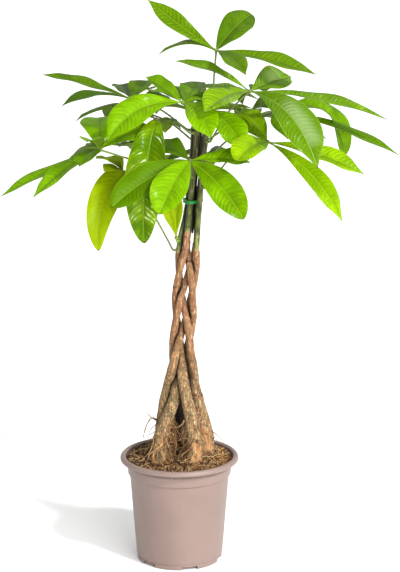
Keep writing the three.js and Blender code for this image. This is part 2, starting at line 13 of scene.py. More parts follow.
import bpy
import numpy as np
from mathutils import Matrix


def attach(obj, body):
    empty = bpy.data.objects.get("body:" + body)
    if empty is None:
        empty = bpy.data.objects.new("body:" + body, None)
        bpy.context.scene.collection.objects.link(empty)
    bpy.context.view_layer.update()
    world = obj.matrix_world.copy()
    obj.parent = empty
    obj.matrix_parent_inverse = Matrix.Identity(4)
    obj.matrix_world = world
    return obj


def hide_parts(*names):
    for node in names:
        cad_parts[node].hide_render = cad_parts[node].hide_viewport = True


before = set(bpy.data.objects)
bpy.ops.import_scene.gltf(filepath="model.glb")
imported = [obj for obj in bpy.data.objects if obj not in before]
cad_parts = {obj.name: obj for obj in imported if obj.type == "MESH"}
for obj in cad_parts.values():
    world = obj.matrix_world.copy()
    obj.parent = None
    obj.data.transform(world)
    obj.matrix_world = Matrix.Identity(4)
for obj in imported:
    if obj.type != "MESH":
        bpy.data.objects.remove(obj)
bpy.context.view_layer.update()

Triple = tuple[float, float, float]
Span = tuple[float, float]
Table = Sequence[Span]
Layers = Sequence[tuple[float, Any, int]]
Colour = tuple[float, float, float, float]

LOG = logging.getLogger("money_tree")
BODY = "root"
MILLIMETRES = 1000
UP = np.array((0.0, 0.0, 1.0))
# A direction that no stalk, root or wire starts along.
ODD_WAY = (0.31, 0.52, 0.79)
TINY = 1e-12
# How much longer than the shortest distance an edge of a regular solid may be.
EDGE_SLACK = 1.01
# How many samples of a curve are measured between two of its points.
CURVE_SAMPLES = 40

# Heights in the trunk and the value there: how far the braid leans to the right, how far a strand
# swings to the side and to the back, and how thick the stems and shoots are.
TRUNK_LEAN: Table = (
    (0.150, 0.001), (0.191, 0.002), (0.236, 0.004), (0.310, 0.004), (0.361, 0.007),
    (0.383, 0.0075), (0.455, 0.013), (0.527, 0.020), (0.600, 0.028), (0.650, 0.032),
)
SWING: Table = (
    (0.236, 0.0228), (0.251, 0.0206), (0.280, 0.0157), (0.310, 0.0136), (0.345, 0.0132), (0.385, 0.0130),
)
DEPTH: Table = (
    (0.236, 0.0165), (0.251, 0.015), (0.280, 0.0121), (0.310, 0.0103), (0.345, 0.0104), (0.385, 0.0107),
)
STEM_RADIUS: Table = (
    (0.092, 0.008), (0.138, 0.011), (0.152, 0.013), (0.176, 0.0112), (0.205, 0.0097), (0.236, 0.0084),
    (0.251, 0.0075), (0.280, 0.006), (0.310, 0.005), (0.345, 0.0048), (0.385, 0.0047),
)
SHOOT_RADIUS: Table = ((0.440, 0.0045), (0.490, 0.0042), (0.525, 0.004), (0.600, 0.0039), (0.660, 0.0036))
BUNDLE_RADIUS: Table = ((0.458, 0.0076), (0.525, 0.0076), (0.600, 0.0086), (0.650, 0.011))
OUTER_SHOOT = 4
OUTER_SHOOT_RADIUS: Table = (
    (0.458, 0.011), (0.500, 0.014), (0.525, 0.0142), (0.550, 0.0134), (0.600, 0.0096), (0.650, 0.011),
)


def srgb(red: int, green: int, blue: int) -> Colour:
    """Turns a screen colour into the linear colour that a shader takes.

    Args:
        red: Red from 0 to 255.
        green: Green from 0 to 255.
        blue: Blue from 0 to 255.

    Returns:
        The linear colour with full alpha.
    """
    linear = [((c / 255 + 0.055) / 1.055) ** 2.4 if c > 10 else c / 255 / 12.92 for c in (red, green, blue)]
    return (linear[0], linear[1], linear[2], 1.0)


def lookup(table: Table, place: Any) -> np.ndarray:
    """Reads values from a table by straight lines between its rows.

    Args:
        table: Pairs of a place and the value there, in rising order.
        place: One place or an array of places.

    Returns:
        The values as an array of the same form.
    """
    places, values = zip(*table)
    return np.interp(place, places, values)


def smoothstep(value: Any, low: float, high: float) -> np.ndarray:
    """Eases from 0 at low to 1 at high.

    Args:
        value: One number or an array.
        low: Where the ease starts.
        high: Where it ends.

    Returns:
        The eased values.
    """
    share = np.clip((np.asarray(value, float) - low) / (high - low), 0, 1)
    return share * share * (3 - 2 * share)


def unit(vector: np.ndarray) -> np.ndarray:
    """Returns vectors of length 1 in the same directions."""
    return vector / np.maximum(np.linalg.norm(vector, axis=-1, keepdims=True), TINY)


def bell(off: np.ndarray, width: float) -> np.ndarray:
    """Gives 1 in the middle, and falls off to the sides over a width."""
    return np.exp(-((off / width) ** 2))


def toward(angle: float) -> np.ndarray:
    """Returns the level unit vector at an angle."""
    return np.array((math.cos(angle), math.sin(angle), 0.0))


def even_turns(sides: int) -> np.ndarray:
    """Returns the angles of points spaced evenly round a circle."""
    return 2 * math.pi * np.arange(sides) / sides


def circle(sides: int) -> np.ndarray:
    """Returns the level unit vectors of points spaced evenly round a circle."""
    turns = even_turns(sides)
    return np.stack([np.cos(turns), np.sin(turns), np.zeros(sides)], axis=1)


def run_length(path: np.ndarray) -> np.ndarray:
    """Gives the length of a path up to each of its points."""
    return np.concatenate([[0], np.cumsum(np.linalg.norm(np.diff(path, axis=0), axis=1))])


def waves(points: np.ndarray, size: Any, seed: int, count: int = 9) -> np.ndarray:
    """Gives a smooth, seeded unevenness in space, made of crossed waves.

    Args:
        points: Points as rows.
        size: Wave length, or one for each axis.
        seed: Seed of the directions and offsets.
        count: How many waves are added.

    Returns:
        One value for each point, mostly between -1 and 1.
    """
    rng = np.random.default_rng(seed)
    ways = unit(rng.normal(size=(count, 3))) * 2 * math.pi / np.asarray(size)
    offsets = rng.uniform(0, 2 * math.pi, count)
    return np.sin(points @ ways.T + offsets).sum(-1) / math.sqrt(count)


def rough(points: np.ndarray, layers: Layers, seed: int = 0) -> np.ndarray:
    """Adds up several layers of waves.

    Args:
        points: Points as rows.
        layers: The height, the wave length and the first seed of each layer.
        seed: Number that is added to the seeds.

    Returns:
        One height for each point.
    """
    return sum(height * waves(points, size, first + seed) for height, size, first in layers)


def catmull_rom(points: Sequence[Sequence[float]], steps: int) -> np.ndarray:
    """Samples the centripetal curve through points, evenly by its length.

    Args:
        points: The points it passes through.
        steps: How many even steps to cut it in.

    Returns:
        Points on the curve, one more than the steps.
    """
    knots = np.asarray(points, float)
    knots = np.vstack([2 * knots[0] - knots[1], knots, 2 * knots[-1] - knots[-2]])
    samples = []
    share = np.linspace(0, 1, CURVE_SAMPLES, endpoint=False)[:, None]
    for a, b, c, d in zip(knots, knots[1:], knots[2:], knots[3:]):
        before, within, after = (math.sqrt(np.linalg.norm(q - p)) for p, q in ((a, b), (b, c), (c, d)))
        start = ((b - a) / before - (c - a) / (before + within) + (c - b) / within) * within
        end = ((c - b) / within - (d - b) / (within + after) + (d - c) / after) * within
        cubic = 2 * b - 2 * c + start + end
        square = 3 * c - 3 * b - 2 * start - end
        samples.append(((cubic * share + square) * share + start) * share + b)
    dense = np.vstack([*samples, knots[-2:-1]])
    length = run_length(dense)
    even = np.linspace(0, length[-1], steps + 1)
    return np.stack([np.interp(even, length, dense[:, axis]) for axis in range(3)], axis=1)


def rounded(corners: Sequence[Span], reach: float, steps: int = 4, most: float = 0.42) -> np.ndarray:
    """Rounds the corners of a section.

    Args:
        corners: Radii and heights of the corners.
        reach: How far from a corner its rounding starts.
        steps: How many steps each rounding has.
        most: Largest share of an edge that one rounding takes.

    Returns:
        The points of the rounded section.
    """
    given = np.asarray(corners, float)
    share = np.linspace(0, 1, steps + 1)[:, None]
    points = [given[:1]]
    for before, corner, after in zip(given, given[1:], given[2:]):
        back, on = before - corner, after - corner
        start = corner + unit(back) * min(reach, most * float(np.linalg.norm(back)))
        end = corner + unit(on) * min(reach, most * float(np.linalg.norm(on)))
        points.append((1 - share) ** 2 * start + 2 * share * (1 - share) * corner + share**2 * end)
    return np.vstack([*points, given[-1:]])


def ring_faces(rings: int, sides: int, closed: bool = False) -> list[list[int]]:
    """Lists the faces of a tube whose points run ring by ring.

    Args:
        rings: How many rings there are.
        sides: How many points each ring has.
        closed: Whether the last ring joins the first one, instead of both being capped.

    Returns:
        Faces that look outward when rings turn left-handed about the way they follow each other.
    """
    spans = rings if closed else rings - 1
    ring = np.arange(spans)[:, None]
    side = np.arange(sides)[None, :]
    turn = (side + 1) % sides
    following = (ring + 1) % rings
    corners = (ring * sides + side, ring * sides + turn, following * sides + turn, following * sides + side)
    faces = np.stack(corners, axis=-1).reshape(-1, 4).tolist()
    if not closed:
        last = (rings - 1) * sides
        faces.append(list(range(sides - 1, -1, -1)))
        faces.append(list(range(last, last + sides)))
    return faces


def tube_points(path: np.ndarray, radii: Any, sides: int) -> np.ndarray:
    """Places rings square to a path, without twisting from one to the next.

    Args:
        path: Middles of the rings.
        radii: One radius, or one for each ring.
        sides: How many points each ring has.

    Returns:
        The points, ring by ring.
    """
    runs = unit(np.gradient(path, axis=0))
    radii = np.broadcast_to(np.asarray(radii, float), len(path))
    normal = np.cross(runs[0], ODD_WAY)
    turns = even_turns(sides)
    rings = []
    for middle, run, radius in zip(path, runs, radii):
        normal = unit(normal - run * (normal @ run))
        across = np.cross(run, normal)
        round_it = np.outer(np.cos(turns), normal) + np.outer(np.sin(turns), across)
        rings.append(middle + radius * round_it)
    return np.vstack(rings)


def nearest_triangles(corners: np.ndarray) -> list[list[int]]:
    """Lists the triangles of a regular solid whose corners lie round the middle, facing outward.

    Args:
        corners: The corners as rows.

    Returns:
        The faces.
    """
    apart = np.linalg.norm(corners[:, None] - corners[None], axis=2)
    edge = apart[apart > TINY].min() * EDGE_SLACK
    faces = []
    for a, b, c in combinations(range(len(corners)), 3):
        if max(apart[a, b], apart[b, c], apart[a, c]) < edge:
            normal = np.cross(corners[b] - corners[a], corners[c] - corners[a])
            faces.append([a, b, c] if normal @ corners[a] > 0 else [a, c, b])
    return faces


def math_operator(operation: str, turned: bool = False) -> Callable[["Signal", Any], "Signal"]:
    """Makes the method for one of Python's operators, which adds a Math node.

    Args:
        operation: The node's operation.
        turned: Whether the signal comes second, as in the operator's reflected form.

    Returns:
        The method.
    """

    def method(signal: "Signal", other: Any) -> "Signal":
        """Adds the Math node."""
        first, second = (other, signal) if turned else (signal, other)
        return signal.shader.node("ShaderNodeMath", {"operation": operation}, {0: first, 1: second})

    return method


class Signal:
    """An output socket of a shader node, on which Python's operators add Math nodes."""

    __add__ = math_operator("ADD")
    __radd__ = math_operator("ADD", turned=True)
    __sub__ = math_operator("SUBTRACT")
    __rsub__ = math_operator("SUBTRACT", turned=True)
    __mul__ = math_operator("MULTIPLY")
    __rmul__ = math_operator("MULTIPLY", turned=True)
    __truediv__ = math_operator("DIVIDE")
    __rtruediv__ = math_operator("DIVIDE", turned=True)

    def __init__(self, shader: "Shader", socket: Any) -> None:
        """Wraps a socket.

        Args:
            shader: The shader that the socket is in.
            socket: The output socket.
        """
        self.shader = shader
        self.socket = socket

    def math(self, operation: str) -> "Signal":
        """Adds a Math node that works on this value alone."""
        return self.shader.node("ShaderNodeMath", {"operation": operation}, {0: self})

    def ease(self, low: float, high: float) -> "Signal":
        """Eases from 0 where the value is low to 1 where it is high.

        Args:
            low: Value that gives 0.
            high: Value that gives 1, which may be the smaller one.

        Returns:
            The eased value.
        """
        values = {"Value": self, "From Min": low, "From Max": high}
        return self.shader.node("ShaderNodeMapRange", {"interpolation_type": "SMOOTHSTEP"}, values)


@dataclass(frozen=True)
class Pattern:
    """A cloudy pattern.

    It has so many cells for each metre and so many finer layers. Its upright scale is below 1 where
    the cells are drawn out in height.
    """

    scale: float
    detail: float = 3.0
    upright: float = 1.0


class Shader:
    """A material under construction."""

    def __init__(self, name: str) -> None:
        """Starts an empty material.

        Args:
            name: Name of the material.
        """
        self.material = bpy.data.materials.new(name)
        self.material.use_nodes = True
        self.tree = self.material.node_tree
        self.tree.nodes.clear()

    def node(self, kind: str, settings: dict[str, Any], values: dict[Any, Any], output: Any = 0) -> Signal:
        """Adds any node.

        Args:
            kind: Blender's name of the node type.
            settings: The node's properties, set before its sockets.
            values: Numbers, colours or signals for its input sockets, by name or number.
            output: Name or number of the output that is returned.

        Returns:
            The chosen output.
        """
        made = self.tree.nodes.new(kind)
        for key, setting in settings.items():
            setattr(made, key, setting)
        for key, value in values.items():
            if isinstance(value, Signal):
                self.tree.links.new(value.socket, made.inputs[key])
            else:
                made.inputs[key].default_value = value
        return Signal(self, made.outputs[output])

    def place(self, upright: float = 1.0) -> Signal:
        """Gives the place on the object in metres, with its height multiplied by the upright scale."""
        spot = self.node("ShaderNodeTexCoord", {}, {}, "Object")
        return self.node("ShaderNodeVectorMath", {"operation": "MULTIPLY"}, {0: spot, 1: (1.0, 1.0, upright)})

    def parts(self, vector: Signal) -> tuple[Signal, Signal, Signal]:
        """Splits a vector into its three numbers.

        Args:
            vector: The vector.

        Returns:
            The numbers.
        """
        first = self.node("ShaderNodeSeparateXYZ", {}, {0: vector})
        outputs = first.socket.node.outputs
        return first, Signal(self, outputs[1]), Signal(self, outputs[2])

    def carried(self, name: str) -> tuple[Signal, Signal, Signal]:
        """Reads the three numbers that a mesh carries at its points under a name."""
        return self.parts(self.node("ShaderNodeAttribute", {"attribute_name": name}, {}, "Vector"))

    def noise(self, pattern: Pattern, at: Signal | None = None) -> Signal:
        """Gives a cloudy pattern.

        Args:
            pattern: The pattern.
            at: Where it is read, or nothing for the place on the object.

        Returns:
            A number about 0.5.
        """
        spot = self.place(pattern.upright) if at is None else at
        values = {"Vector": spot, "Scale": pattern.scale, "Detail": pattern.detail}
        return self.node("ShaderNodeTexNoise", {}, values)

    def cells(self, scale: float) -> Signal:
        """Gives the distance to the nearest of many scattered spots, in cells."""
        return self.node("ShaderNodeTexVoronoi", {}, {"Vector": self.place(), "Scale": scale}, "Distance")

    def layers(self, colour: Any, *coats: tuple[Any, Any]) -> Any:
        """Lays colours over a first one.

        Args:
            colour: The first colour.
            *coats: For each further colour how much there is of it, and the colour.

        Returns:
            The mixed colour.
        """
        for share, coat in coats:
            colour = self.node("ShaderNodeMix", {"data_type": "RGBA"}, {0: share, 6: colour, 7: coat}, 2)
        return colour

    def bump(self, height: Signal, depth: float) -> Signal:
        """Turns a height into a bent normal, where one unit of height is so many metres."""
        return self.node("ShaderNodeBump", {}, {"Height": height, "Distance": depth})

    def finish(self, values: dict[str, Any], glow: Any = None, glow_share: float = 0.0) -> bpy.types.Material:
        """Ends the shader with a Principled surface.

        Args:
            values: Numbers, colours or signals for the surface's sockets.
            glow: Colour of light that comes through from behind, or nothing.
            glow_share: How much of the surface passes light.

        Returns:
            The material.
        """
        surface = self.node("ShaderNodeBsdfPrincipled", {}, values)
        if glow is not None:
            through = self.node("ShaderNodeBsdfTranslucent", {}, {"Color": glow})
            surface = self.node("ShaderNodeMixShader", {}, {0: glow_share, 1: surface, 2: through})
        end = self.tree.nodes.new("ShaderNodeOutputMaterial")
        self.tree.links.new(surface.socket, end.inputs["Surface"])
        return self.material


@dataclass(frozen=True)
class PotPlastic:
    """Satin moulded plastic, faintly clouded, with a few rubbed places, darker in patches on the inside just
    above the soil.
    """

    body: Colour = srgb(112, 94, 86)
    pale: Colour = srgb(118, 99, 92)
    rubbed: Colour = srgb(130, 114, 107)
    inner_dark: Colour = srgb(54, 39, 27)
    clouds: Pattern = Pattern(16, 4)
    rubs: Pattern = Pattern(70, 6, 0.12)
    inner_dark_patches: Pattern = Pattern(240, 5)
    pores: Pattern = Pattern(1500, 2)
    swells: Pattern = Pattern(30, 2, 0.2)
    # Where the inside of the rim is darkened in patches: the heights between which this comes and goes, and
    # the radius.
    inner_dark_top: Span = (0.1545, 0.1520)
    inner_dark_foot: Span = (0.1400, 0.1450)
    inner_dark_reach: Span = (0.0788, 0.0774)
    relief: float = 0.00012
    bending: float = 1.46

    def material(self) -> bpy.types.Material:
        """Makes the material.

        Returns:
            The material.
        """
        shader = Shader("pot_plastic")
        cloud = shader.noise(self.clouds)
        rub = shader.noise(self.rubs).ease(0.58, 0.74)
        right, back, height = shader.parts(shader.place())
        reach = (right * right + back * back).math("SQRT")
        band = height.ease(*self.inner_dark_top) * height.ease(*self.inner_dark_foot) * reach.ease(*self.inner_dark_reach)
        inner_dark = band * shader.noise(self.inner_dark_patches).ease(0.28, 0.46)
        colour = shader.layers(
            self.body,
            (cloud.ease(0.3, 0.7), self.pale),
            (rub * 0.35, self.rubbed),
            # Darker patches on the inside just above the soil.
            (inner_dark * 0.92, self.inner_dark),
        )
        grain = shader.noise(self.pores) + shader.noise(self.swells) * 1.5
        return shader.finish({
            "Base Color": colour,
            "Roughness": 0.36 + cloud * 0.14 + rub * 0.1 + inner_dark * 0.3,
            "Normal": shader.bump(grain, self.relief),
            "IOR": self.bending,
        })


@dataclass(frozen=True)
class Bark:
    """Thin smooth bark: tan above, greyer with lichen below, orange where it has peeled, with painted shade
    in the crevices.
    """

    tan: Colour = srgb(118, 85, 53)
    pink: Colour = srgb(124, 83, 58)
    pale: Colour = srgb(172, 136, 97)
    grey: Colour = srgb(112, 93, 64)
    lichen: Colour = srgb(74, 70, 32)
    cream: Colour = srgb(196, 172, 122)
    peeled: Colour = srgb(164, 106, 54)
    # Dark of scars, pits and fissures, also used as the painted shade in the crevices.
    scar: Colour = srgb(28, 18, 11)
    blotches: Pattern = Pattern(55, 4)
    greying: Pattern = Pattern(80, 4)
    streaks: Pattern = Pattern(380, 5, 0.16)
    flecks: Pattern = Pattern(520, 3, 0.5)
    creaming: Pattern = Pattern(430, 3, 0.4)
    pits: Pattern = Pattern(560, 3, 0.45)
    cracks: Pattern = Pattern(340, 3, 0.16)
    peeling: Pattern = Pattern(240, 5)
    grain: Pattern = Pattern(900, 3)
    # Heights between which the bark turns rough and grey, from above.
    aged: Span = (0.37, 0.22)
    relief: float = 0.0011
    shine: float = 0.25

    def material(self) -> bpy.types.Material:
        """Makes the material.

        Returns:
            The material.
        """
        shader = Shader("bark")
        peel, scar, painted_crevice_shade = shader.carried("bark")
        low = shader.parts(shader.place())[2].ease(*self.aged)
        streak = shader.noise(self.streaks)
        fleck = shader.noise(self.flecks)
        pit = shader.noise(self.pits).ease(0.42, 0.36)
        fissure = (shader.noise(self.cracks) - 0.5).math("ABSOLUTE").ease(0.020, 0.0)
        raw = (peel + (shader.noise(self.peeling) - 0.5) * 1.6).ease(0.24, 0.52)
        orange = shader.layers(
            self.peeled,
            (streak.ease(0.36, 0.62), self.pale),
            (fleck.ease(0.5, 0.4) * 0.5, self.grey),
        )
        colour = shader.layers(
            self.tan,
            (shader.noise(self.blotches).ease(0.38, 0.62), self.pink),
            (low * shader.noise(self.greying).ease(0.25, 0.6), self.grey),
            (streak.ease(0.48, 0.66) * 0.75, self.pale),
            (fleck.ease(0.55, 0.63) * (0.3 + low * 0.5), self.lichen),
            (shader.noise(self.creaming).ease(0.61, 0.66) * (0.3 + low * 0.4), self.cream),
            (streak.ease(0.40, 0.28) * (0.35 + low * 0.25), self.scar),
            (pit * (0.15 + low * 0.55), self.scar),
            (fissure * (0.35 + low * 0.15), self.scar),
            (raw * 0.85, orange),
            (scar * 0.85, self.scar),
            # Painted shade in the crevices between strands and between the feet.
            (painted_crevice_shade, self.scar),
        )
        relief = streak * 0.6 + fleck * 0.4 - fissure * 0.4 - pit * 0.5 + shader.noise(self.grain) * 0.3
        return shader.finish({
            "Base Color": colour,
            "Roughness": 0.62 + streak * 0.3,
            "Normal": shader.bump(relief, self.relief),
            "Specular IOR Level": self.shine,
        })


@dataclass(frozen=True)
class GreenSkin:
    """Skin of the young shoots: olive green over the bark, greyer and browner toward the crown, with painted
    shade between them.
    """

    olive: Colour = srgb(46, 56, 10)
    bright: Colour = srgb(84, 96, 28)
    brown: Colour = srgb(72, 68, 36)
    cork: Colour = srgb(132, 120, 78)
    # Dark of the wrinkles, also used as the painted shade where the shoots crowd each other.
    dark: Colour = srgb(18, 18, 8)
    patches: Pattern = Pattern(60)
    wrinkles: Pattern = Pattern(420, 4, 0.12)
    grain: Pattern = Pattern(1200, 2)
    relief: float = 0.0011
    shine: float = 0.28

    def material(self) -> bpy.types.Material:
        """Makes the material.

        Returns:
            The material.
        """
        shader = Shader("green_skin")
        share, scar, painted_crevice_shade = shader.carried("shoot")
        wrinkle = shader.noise(self.wrinkles)
        colour = shader.layers(
            self.olive,
            (shader.noise(self.patches).ease(0.35, 0.65), self.bright),
            (share.ease(0.2, 0.8) * 0.75, self.brown),
            (wrinkle.ease(0.54, 0.66) * 0.55, self.cork),
            (wrinkle.ease(0.48, 0.36) * 0.8, self.dark),
            (share.ease(0.05, 0.0) * 0.8, self.cork),
            (scar * 0.7, self.cork),
            # Painted shade where the shoots crowd each other.
            (painted_crevice_shade, self.dark),
        )
        return shader.finish({
            "Base Color": colour,
            "Roughness": 0.42 + wrinkle * 0.25,
            "Normal": shader.bump(wrinkle + shader.noise(self.grain) * 0.3, self.relief),
            "Specular IOR Level": self.shine,
        })


@dataclass(frozen=True)
class StalkSkin:
    """Skin of the leaf stalks: smooth green with brownish stretches and fine pale streaks."""

    green: Colour = srgb(88, 112, 24)
    brown: Colour = srgb(72, 74, 34)
    pale: Colour = srgb(122, 134, 52)
    blotches: Pattern = Pattern(24, 2)
    streaks: Pattern = Pattern(700, 3, 0.3)
    relief: float = 0.0003

    def material(self) -> bpy.types.Material:
        """Makes the material.

        Returns:
            The material.
        """
        shader = Shader("stalk_skin")
        streak = shader.noise(self.streaks)
        blotch = shader.noise(self.blotches).ease(0.42, 0.6)
        return shader.finish({
            "Base Color": shader.layers(
                self.green, (blotch, self.brown), (streak.ease(0.55, 0.7) * 0.4, self.pale),
            ),
            "Roughness": 0.36 + streak * 0.2,
            "Normal": shader.bump(streak, self.relief),
        })


@dataclass(frozen=True)
class LeafSkin:
    """Skin of the blades: two greens, pale ribs, a duller underside and light that comes through.

    The painted glint is the pale glint painted between the side veins, and the painted veil is the silvery
    sheen painted on one half of a broad blade. Painted shade lies in the hollows along the side veins and in
    the groove beside the midrib. Mottle is how much the fields between the veins differ.
    """

    name: str
    deep: Colour
    fresh: Colour
    rib: Colour
    under: Colour
    glow: Colour
    gloss: float
    quilt: float
    glow_share: float
    coat: float
    sheen: Colour = (0.6, 1.0, 0.12, 1.0)
    shine: float = 0.18
    painted_glint: float = 0.0
    painted_veil: float = 0.0
    mottle: float = 0.34
    furrow: Colour = srgb(36, 72, 0)
    # Pale colour of the painted glints and the painted silvery sheen.
    painted_sheen: Colour = srgb(204, 222, 170)
    dry_tip: Colour = srgb(72, 56, 26)
    coat_roughness: float = 0.16
    sways: Pattern = Pattern(45, 2)
    patches: Pattern = Pattern(38)
    clouds: Pattern = Pattern(30, 4)
    glints: Pattern = Pattern(52)
    grain: Pattern = Pattern(420)
    # Cells of the finest veins for each metre.
    net: float = 650.0
    # Fields between the side veins, which differ from vein to vein, across a blade and between blades.
    panels: Pattern = Pattern(0.9)
    panel_across: float = 75.0
    panel_blade: float = 9.0
    relief: float = 1.3

    def material(self) -> bpy.types.Material:
        """Makes the material.

        Returns:
            The material.
        """
        shader = Shader(self.name)
        across, edge, vein = shader.carried("blade")
        tone, share, below = shader.carried("tone")
        off = across.math("ABSOLUTE")
        vein = vein + (shader.noise(self.sways) - 0.5) * 1.1
        from_vein = (vein - vein.math("ROUND")).math("ABSOLUTE")
        inner = off.ease(0.0004, 0.0022)
        ends = share.ease(0.03, 0.14) * share.ease(0.985, 0.90)
        patch = 0.25 + shader.noise(self.patches).ease(0.36, 0.64) * 0.75
        side_rib = from_vein.ease(0.07, 0.0) * inner * ends * patch
        midrib = off.ease(0.0009, 0.0003)
        painted_groove_shade = off.ease(0.0024, 0.0008)
        net = shader.cells(self.net).ease(0.1, 0.5)
        cloud = shader.noise(self.clouds)
        pillow = from_vein.ease(0.0, 0.42) * inner * ends * edge.ease(1.0, 0.82)
        fields = {0: vein, 1: off * self.panel_across, 2: tone * self.panel_blade}
        panel = shader.noise(self.panels, shader.node("ShaderNodeCombineXYZ", {}, fields))
        # Painted glints on the ridges between the side veins, in patches.
        painted_glint_mask = pillow.ease(0.62, 0.95) * panel.ease(0.50, 0.60) * shader.noise(self.glints).ease(0.48, 0.60)
        # Painted silvery sheen on one half of a broad blade.
        broad = (off / edge).ease(0.016, 0.026)
        painted_veil_mask = across.ease(0.0005, -0.002) * across.ease(-0.024, -0.008) * broad
        upper = shader.layers(
            self.deep,
            ((cloud + tone * 0.3).ease(0.30, 0.70), self.fresh),
            (panel.ease(0.56, 0.36) * self.mottle * inner, self.deep),
            # Painted shade in the hollows along the side veins.
            ((1 - pillow) * 0.14 * ends, self.deep),
            (net * 0.24, self.deep),
            (side_rib * 0.42, self.furrow),
            # Painted shade in the groove beside the midrib.
            (painted_groove_shade * 0.4, self.deep),
            (painted_glint_mask * self.painted_glint, self.painted_sheen),
            (painted_veil_mask * self.painted_veil, self.painted_sheen),
            (midrib * 0.4, self.rib),
            (edge.ease(0.955, 1.0) * 0.5, self.rib),
        )
        lower = shader.layers(self.under, ((side_rib * 0.5 + midrib).ease(0.0, 1.0), self.rib))
        colour = shader.layers(upper, (below, lower), (share.ease(0.978, 0.992) * 0.85, self.dry_tip))
        glow = shader.layers(self.glow, (side_rib * 0.4 + midrib * 0.5, self.deep))
        facing = 1 - below * 2
        relief = (pillow * patch + panel * 1.6) * facing + net * 0.08 + shader.noise(self.grain) * 0.2
        return shader.finish({
            "Base Color": colour,
            "Roughness": self.gloss + below * 0.22 + cloud * 0.12,
            "Normal": shader.bump(relief, self.quilt * self.relief),
            "Specular IOR Level": self.shine,
            "Specular Tint": self.sheen,
            "Coat Weight": self.coat * (1 - below),
            "Coat Roughness": self.coat_roughness,
        }, glow, self.glow_share)


class LeafAge(Enum):
    """How old a leaf is, which gives it its green."""

    YOUNG = LeafSkin(
        "blade_young", srgb(128, 156, 0), srgb(156, 178, 0), srgb(170, 186, 60), srgb(132, 156, 30),
        srgb(180, 196, 0), gloss=0.4, quilt=0.0003, glow_share=0.36, coat=0.05,
    )
    YELLOWING = LeafSkin(
        "blade_yellowing", srgb(124, 152, 0), srgb(154, 178, 0), srgb(160, 172, 54), srgb(126, 146, 30),
        srgb(176, 186, 0), gloss=0.4, quilt=0.0004, glow_share=0.36, coat=0.08,
    )
    BRIGHT = LeafSkin(
        "blade_bright", srgb(100, 136, 0), srgb(150, 186, 0), srgb(156, 186, 44), srgb(116, 144, 26),
        srgb(172, 202, 0), gloss=0.38, quilt=0.0005, glow_share=0.34, coat=0.05,
    )
    FRESH = LeafSkin(
        "blade_fresh", srgb(74, 108, 0), srgb(120, 168, 0), srgb(146, 176, 40), srgb(104, 132, 26),
        srgb(150, 184, 0), gloss=0.38, quilt=0.0004, glow_share=0.32, coat=0.05,
    )
    # A glossy blade, with a painted silvery sheen on one half and painted glints between the veins.
    PAINTED_SILVER_SHEEN = LeafSkin(
        "blade_painted_silver_sheen", srgb(82, 118, 0), srgb(126, 164, 0), srgb(160, 184, 90), srgb(104, 132, 30),
        srgb(148, 180, 0), gloss=0.40, quilt=0.0006, glow_share=0.3, coat=0.1,
        sheen=(0.7, 1.0, 0.25, 1.0), shine=0.2, painted_glint=0.14, painted_veil=0.24, mottle=0.45,
    )
    MATURE = LeafSkin(
        "blade_mature", srgb(54, 84, 0), srgb(90, 124, 0), srgb(136, 162, 44), srgb(92, 116, 30),
        srgb(126, 154, 0), gloss=0.38, quilt=0.0005, glow_share=0.28, coat=0.05,
    )
    # An old blade, with strong painted glints between the side veins.
    OLD = LeafSkin(
        "blade_old", srgb(66, 102, 0), srgb(134, 168, 2), srgb(144, 170, 56), srgb(98, 122, 30),
        srgb(134, 164, 0), gloss=0.36, quilt=0.0008, glow_share=0.26, coat=0.08, painted_glint=0.9, mottle=0.7,
    )


@dataclass(frozen=True)
class Peat:
    """Potting soil: dark brown peat with lighter bits and bleached fibre."""

    dark: Colour = srgb(20, 12, 6)
    brown: Colour = srgb(66, 38, 18)
    tan: Colour = srgb(138, 90, 48)
    straw: Colour = srgb(190, 146, 88)
    lumps: Pattern = Pattern(330, 5)
    grain: Pattern = Pattern(1400, 4)
    # How far to the right the soil turns lighter.
    lighter_right: Span = (-0.01, 0.06)
    relief: float = 0.0008
    shine: float = 0.25

    def material(self) -> bpy.types.Material:
        """Makes the material, whose carried tone runs from 0 for dark peat to 1 for straw.

        Returns:
            The material.
        """
        shader = Shader("peat")
        # Lighter toward the right.
        tone = shader.carried("peat")[0] + shader.parts(shader.place())[0].ease(*self.lighter_right) * 0.3
        lump = shader.noise(self.lumps)
        grain = shader.noise(self.grain)
        colour = shader.layers(
            self.dark,
            (lump.ease(0.36, 0.6), self.brown),
            ((tone + lump * 0.3).ease(0.45, 0.8), self.tan),
            (tone.ease(0.75, 0.95), self.straw),
        )
        return shader.finish({
            "Base Color": colour,
            "Roughness": 0.78 + grain * 0.2,
            "Normal": shader.bump(grain + lump, self.relief),
            "Specular IOR Level": self.shine,
        })


@dataclass(frozen=True)
class RootSkin:
    """Thin roots: orange brown where they are fresh and straw coloured where they are dry."""

    fresh: Colour = srgb(122, 84, 46)
    dry: Colour = srgb(164, 138, 92)
    dark: Colour = srgb(48, 34, 21)
    fibres: Pattern = Pattern(700, 4)
    relief: float = 0.0004

    def material(self) -> bpy.types.Material:
        """Makes the material, whose carried tone runs from 0 for dark to 1 for dry.

        Returns:
            The material.
        """
        shader = Shader("root_skin")
        tone = shader.carried("peat")[0]
        fibre = shader.noise(self.fibres)
        colour = shader.layers(
            self.dark,
            (tone.ease(0.0, 0.5), self.fresh),
            (tone.ease(0.5, 1.0), self.dry),
            (fibre.ease(0.5, 0.7) * 0.5, self.dark),
        )
        return shader.finish({
            "Base Color": colour,
            "Roughness": 0.7 + fibre * 0.2,
            "Normal": shader.bump(fibre, self.relief),
        })


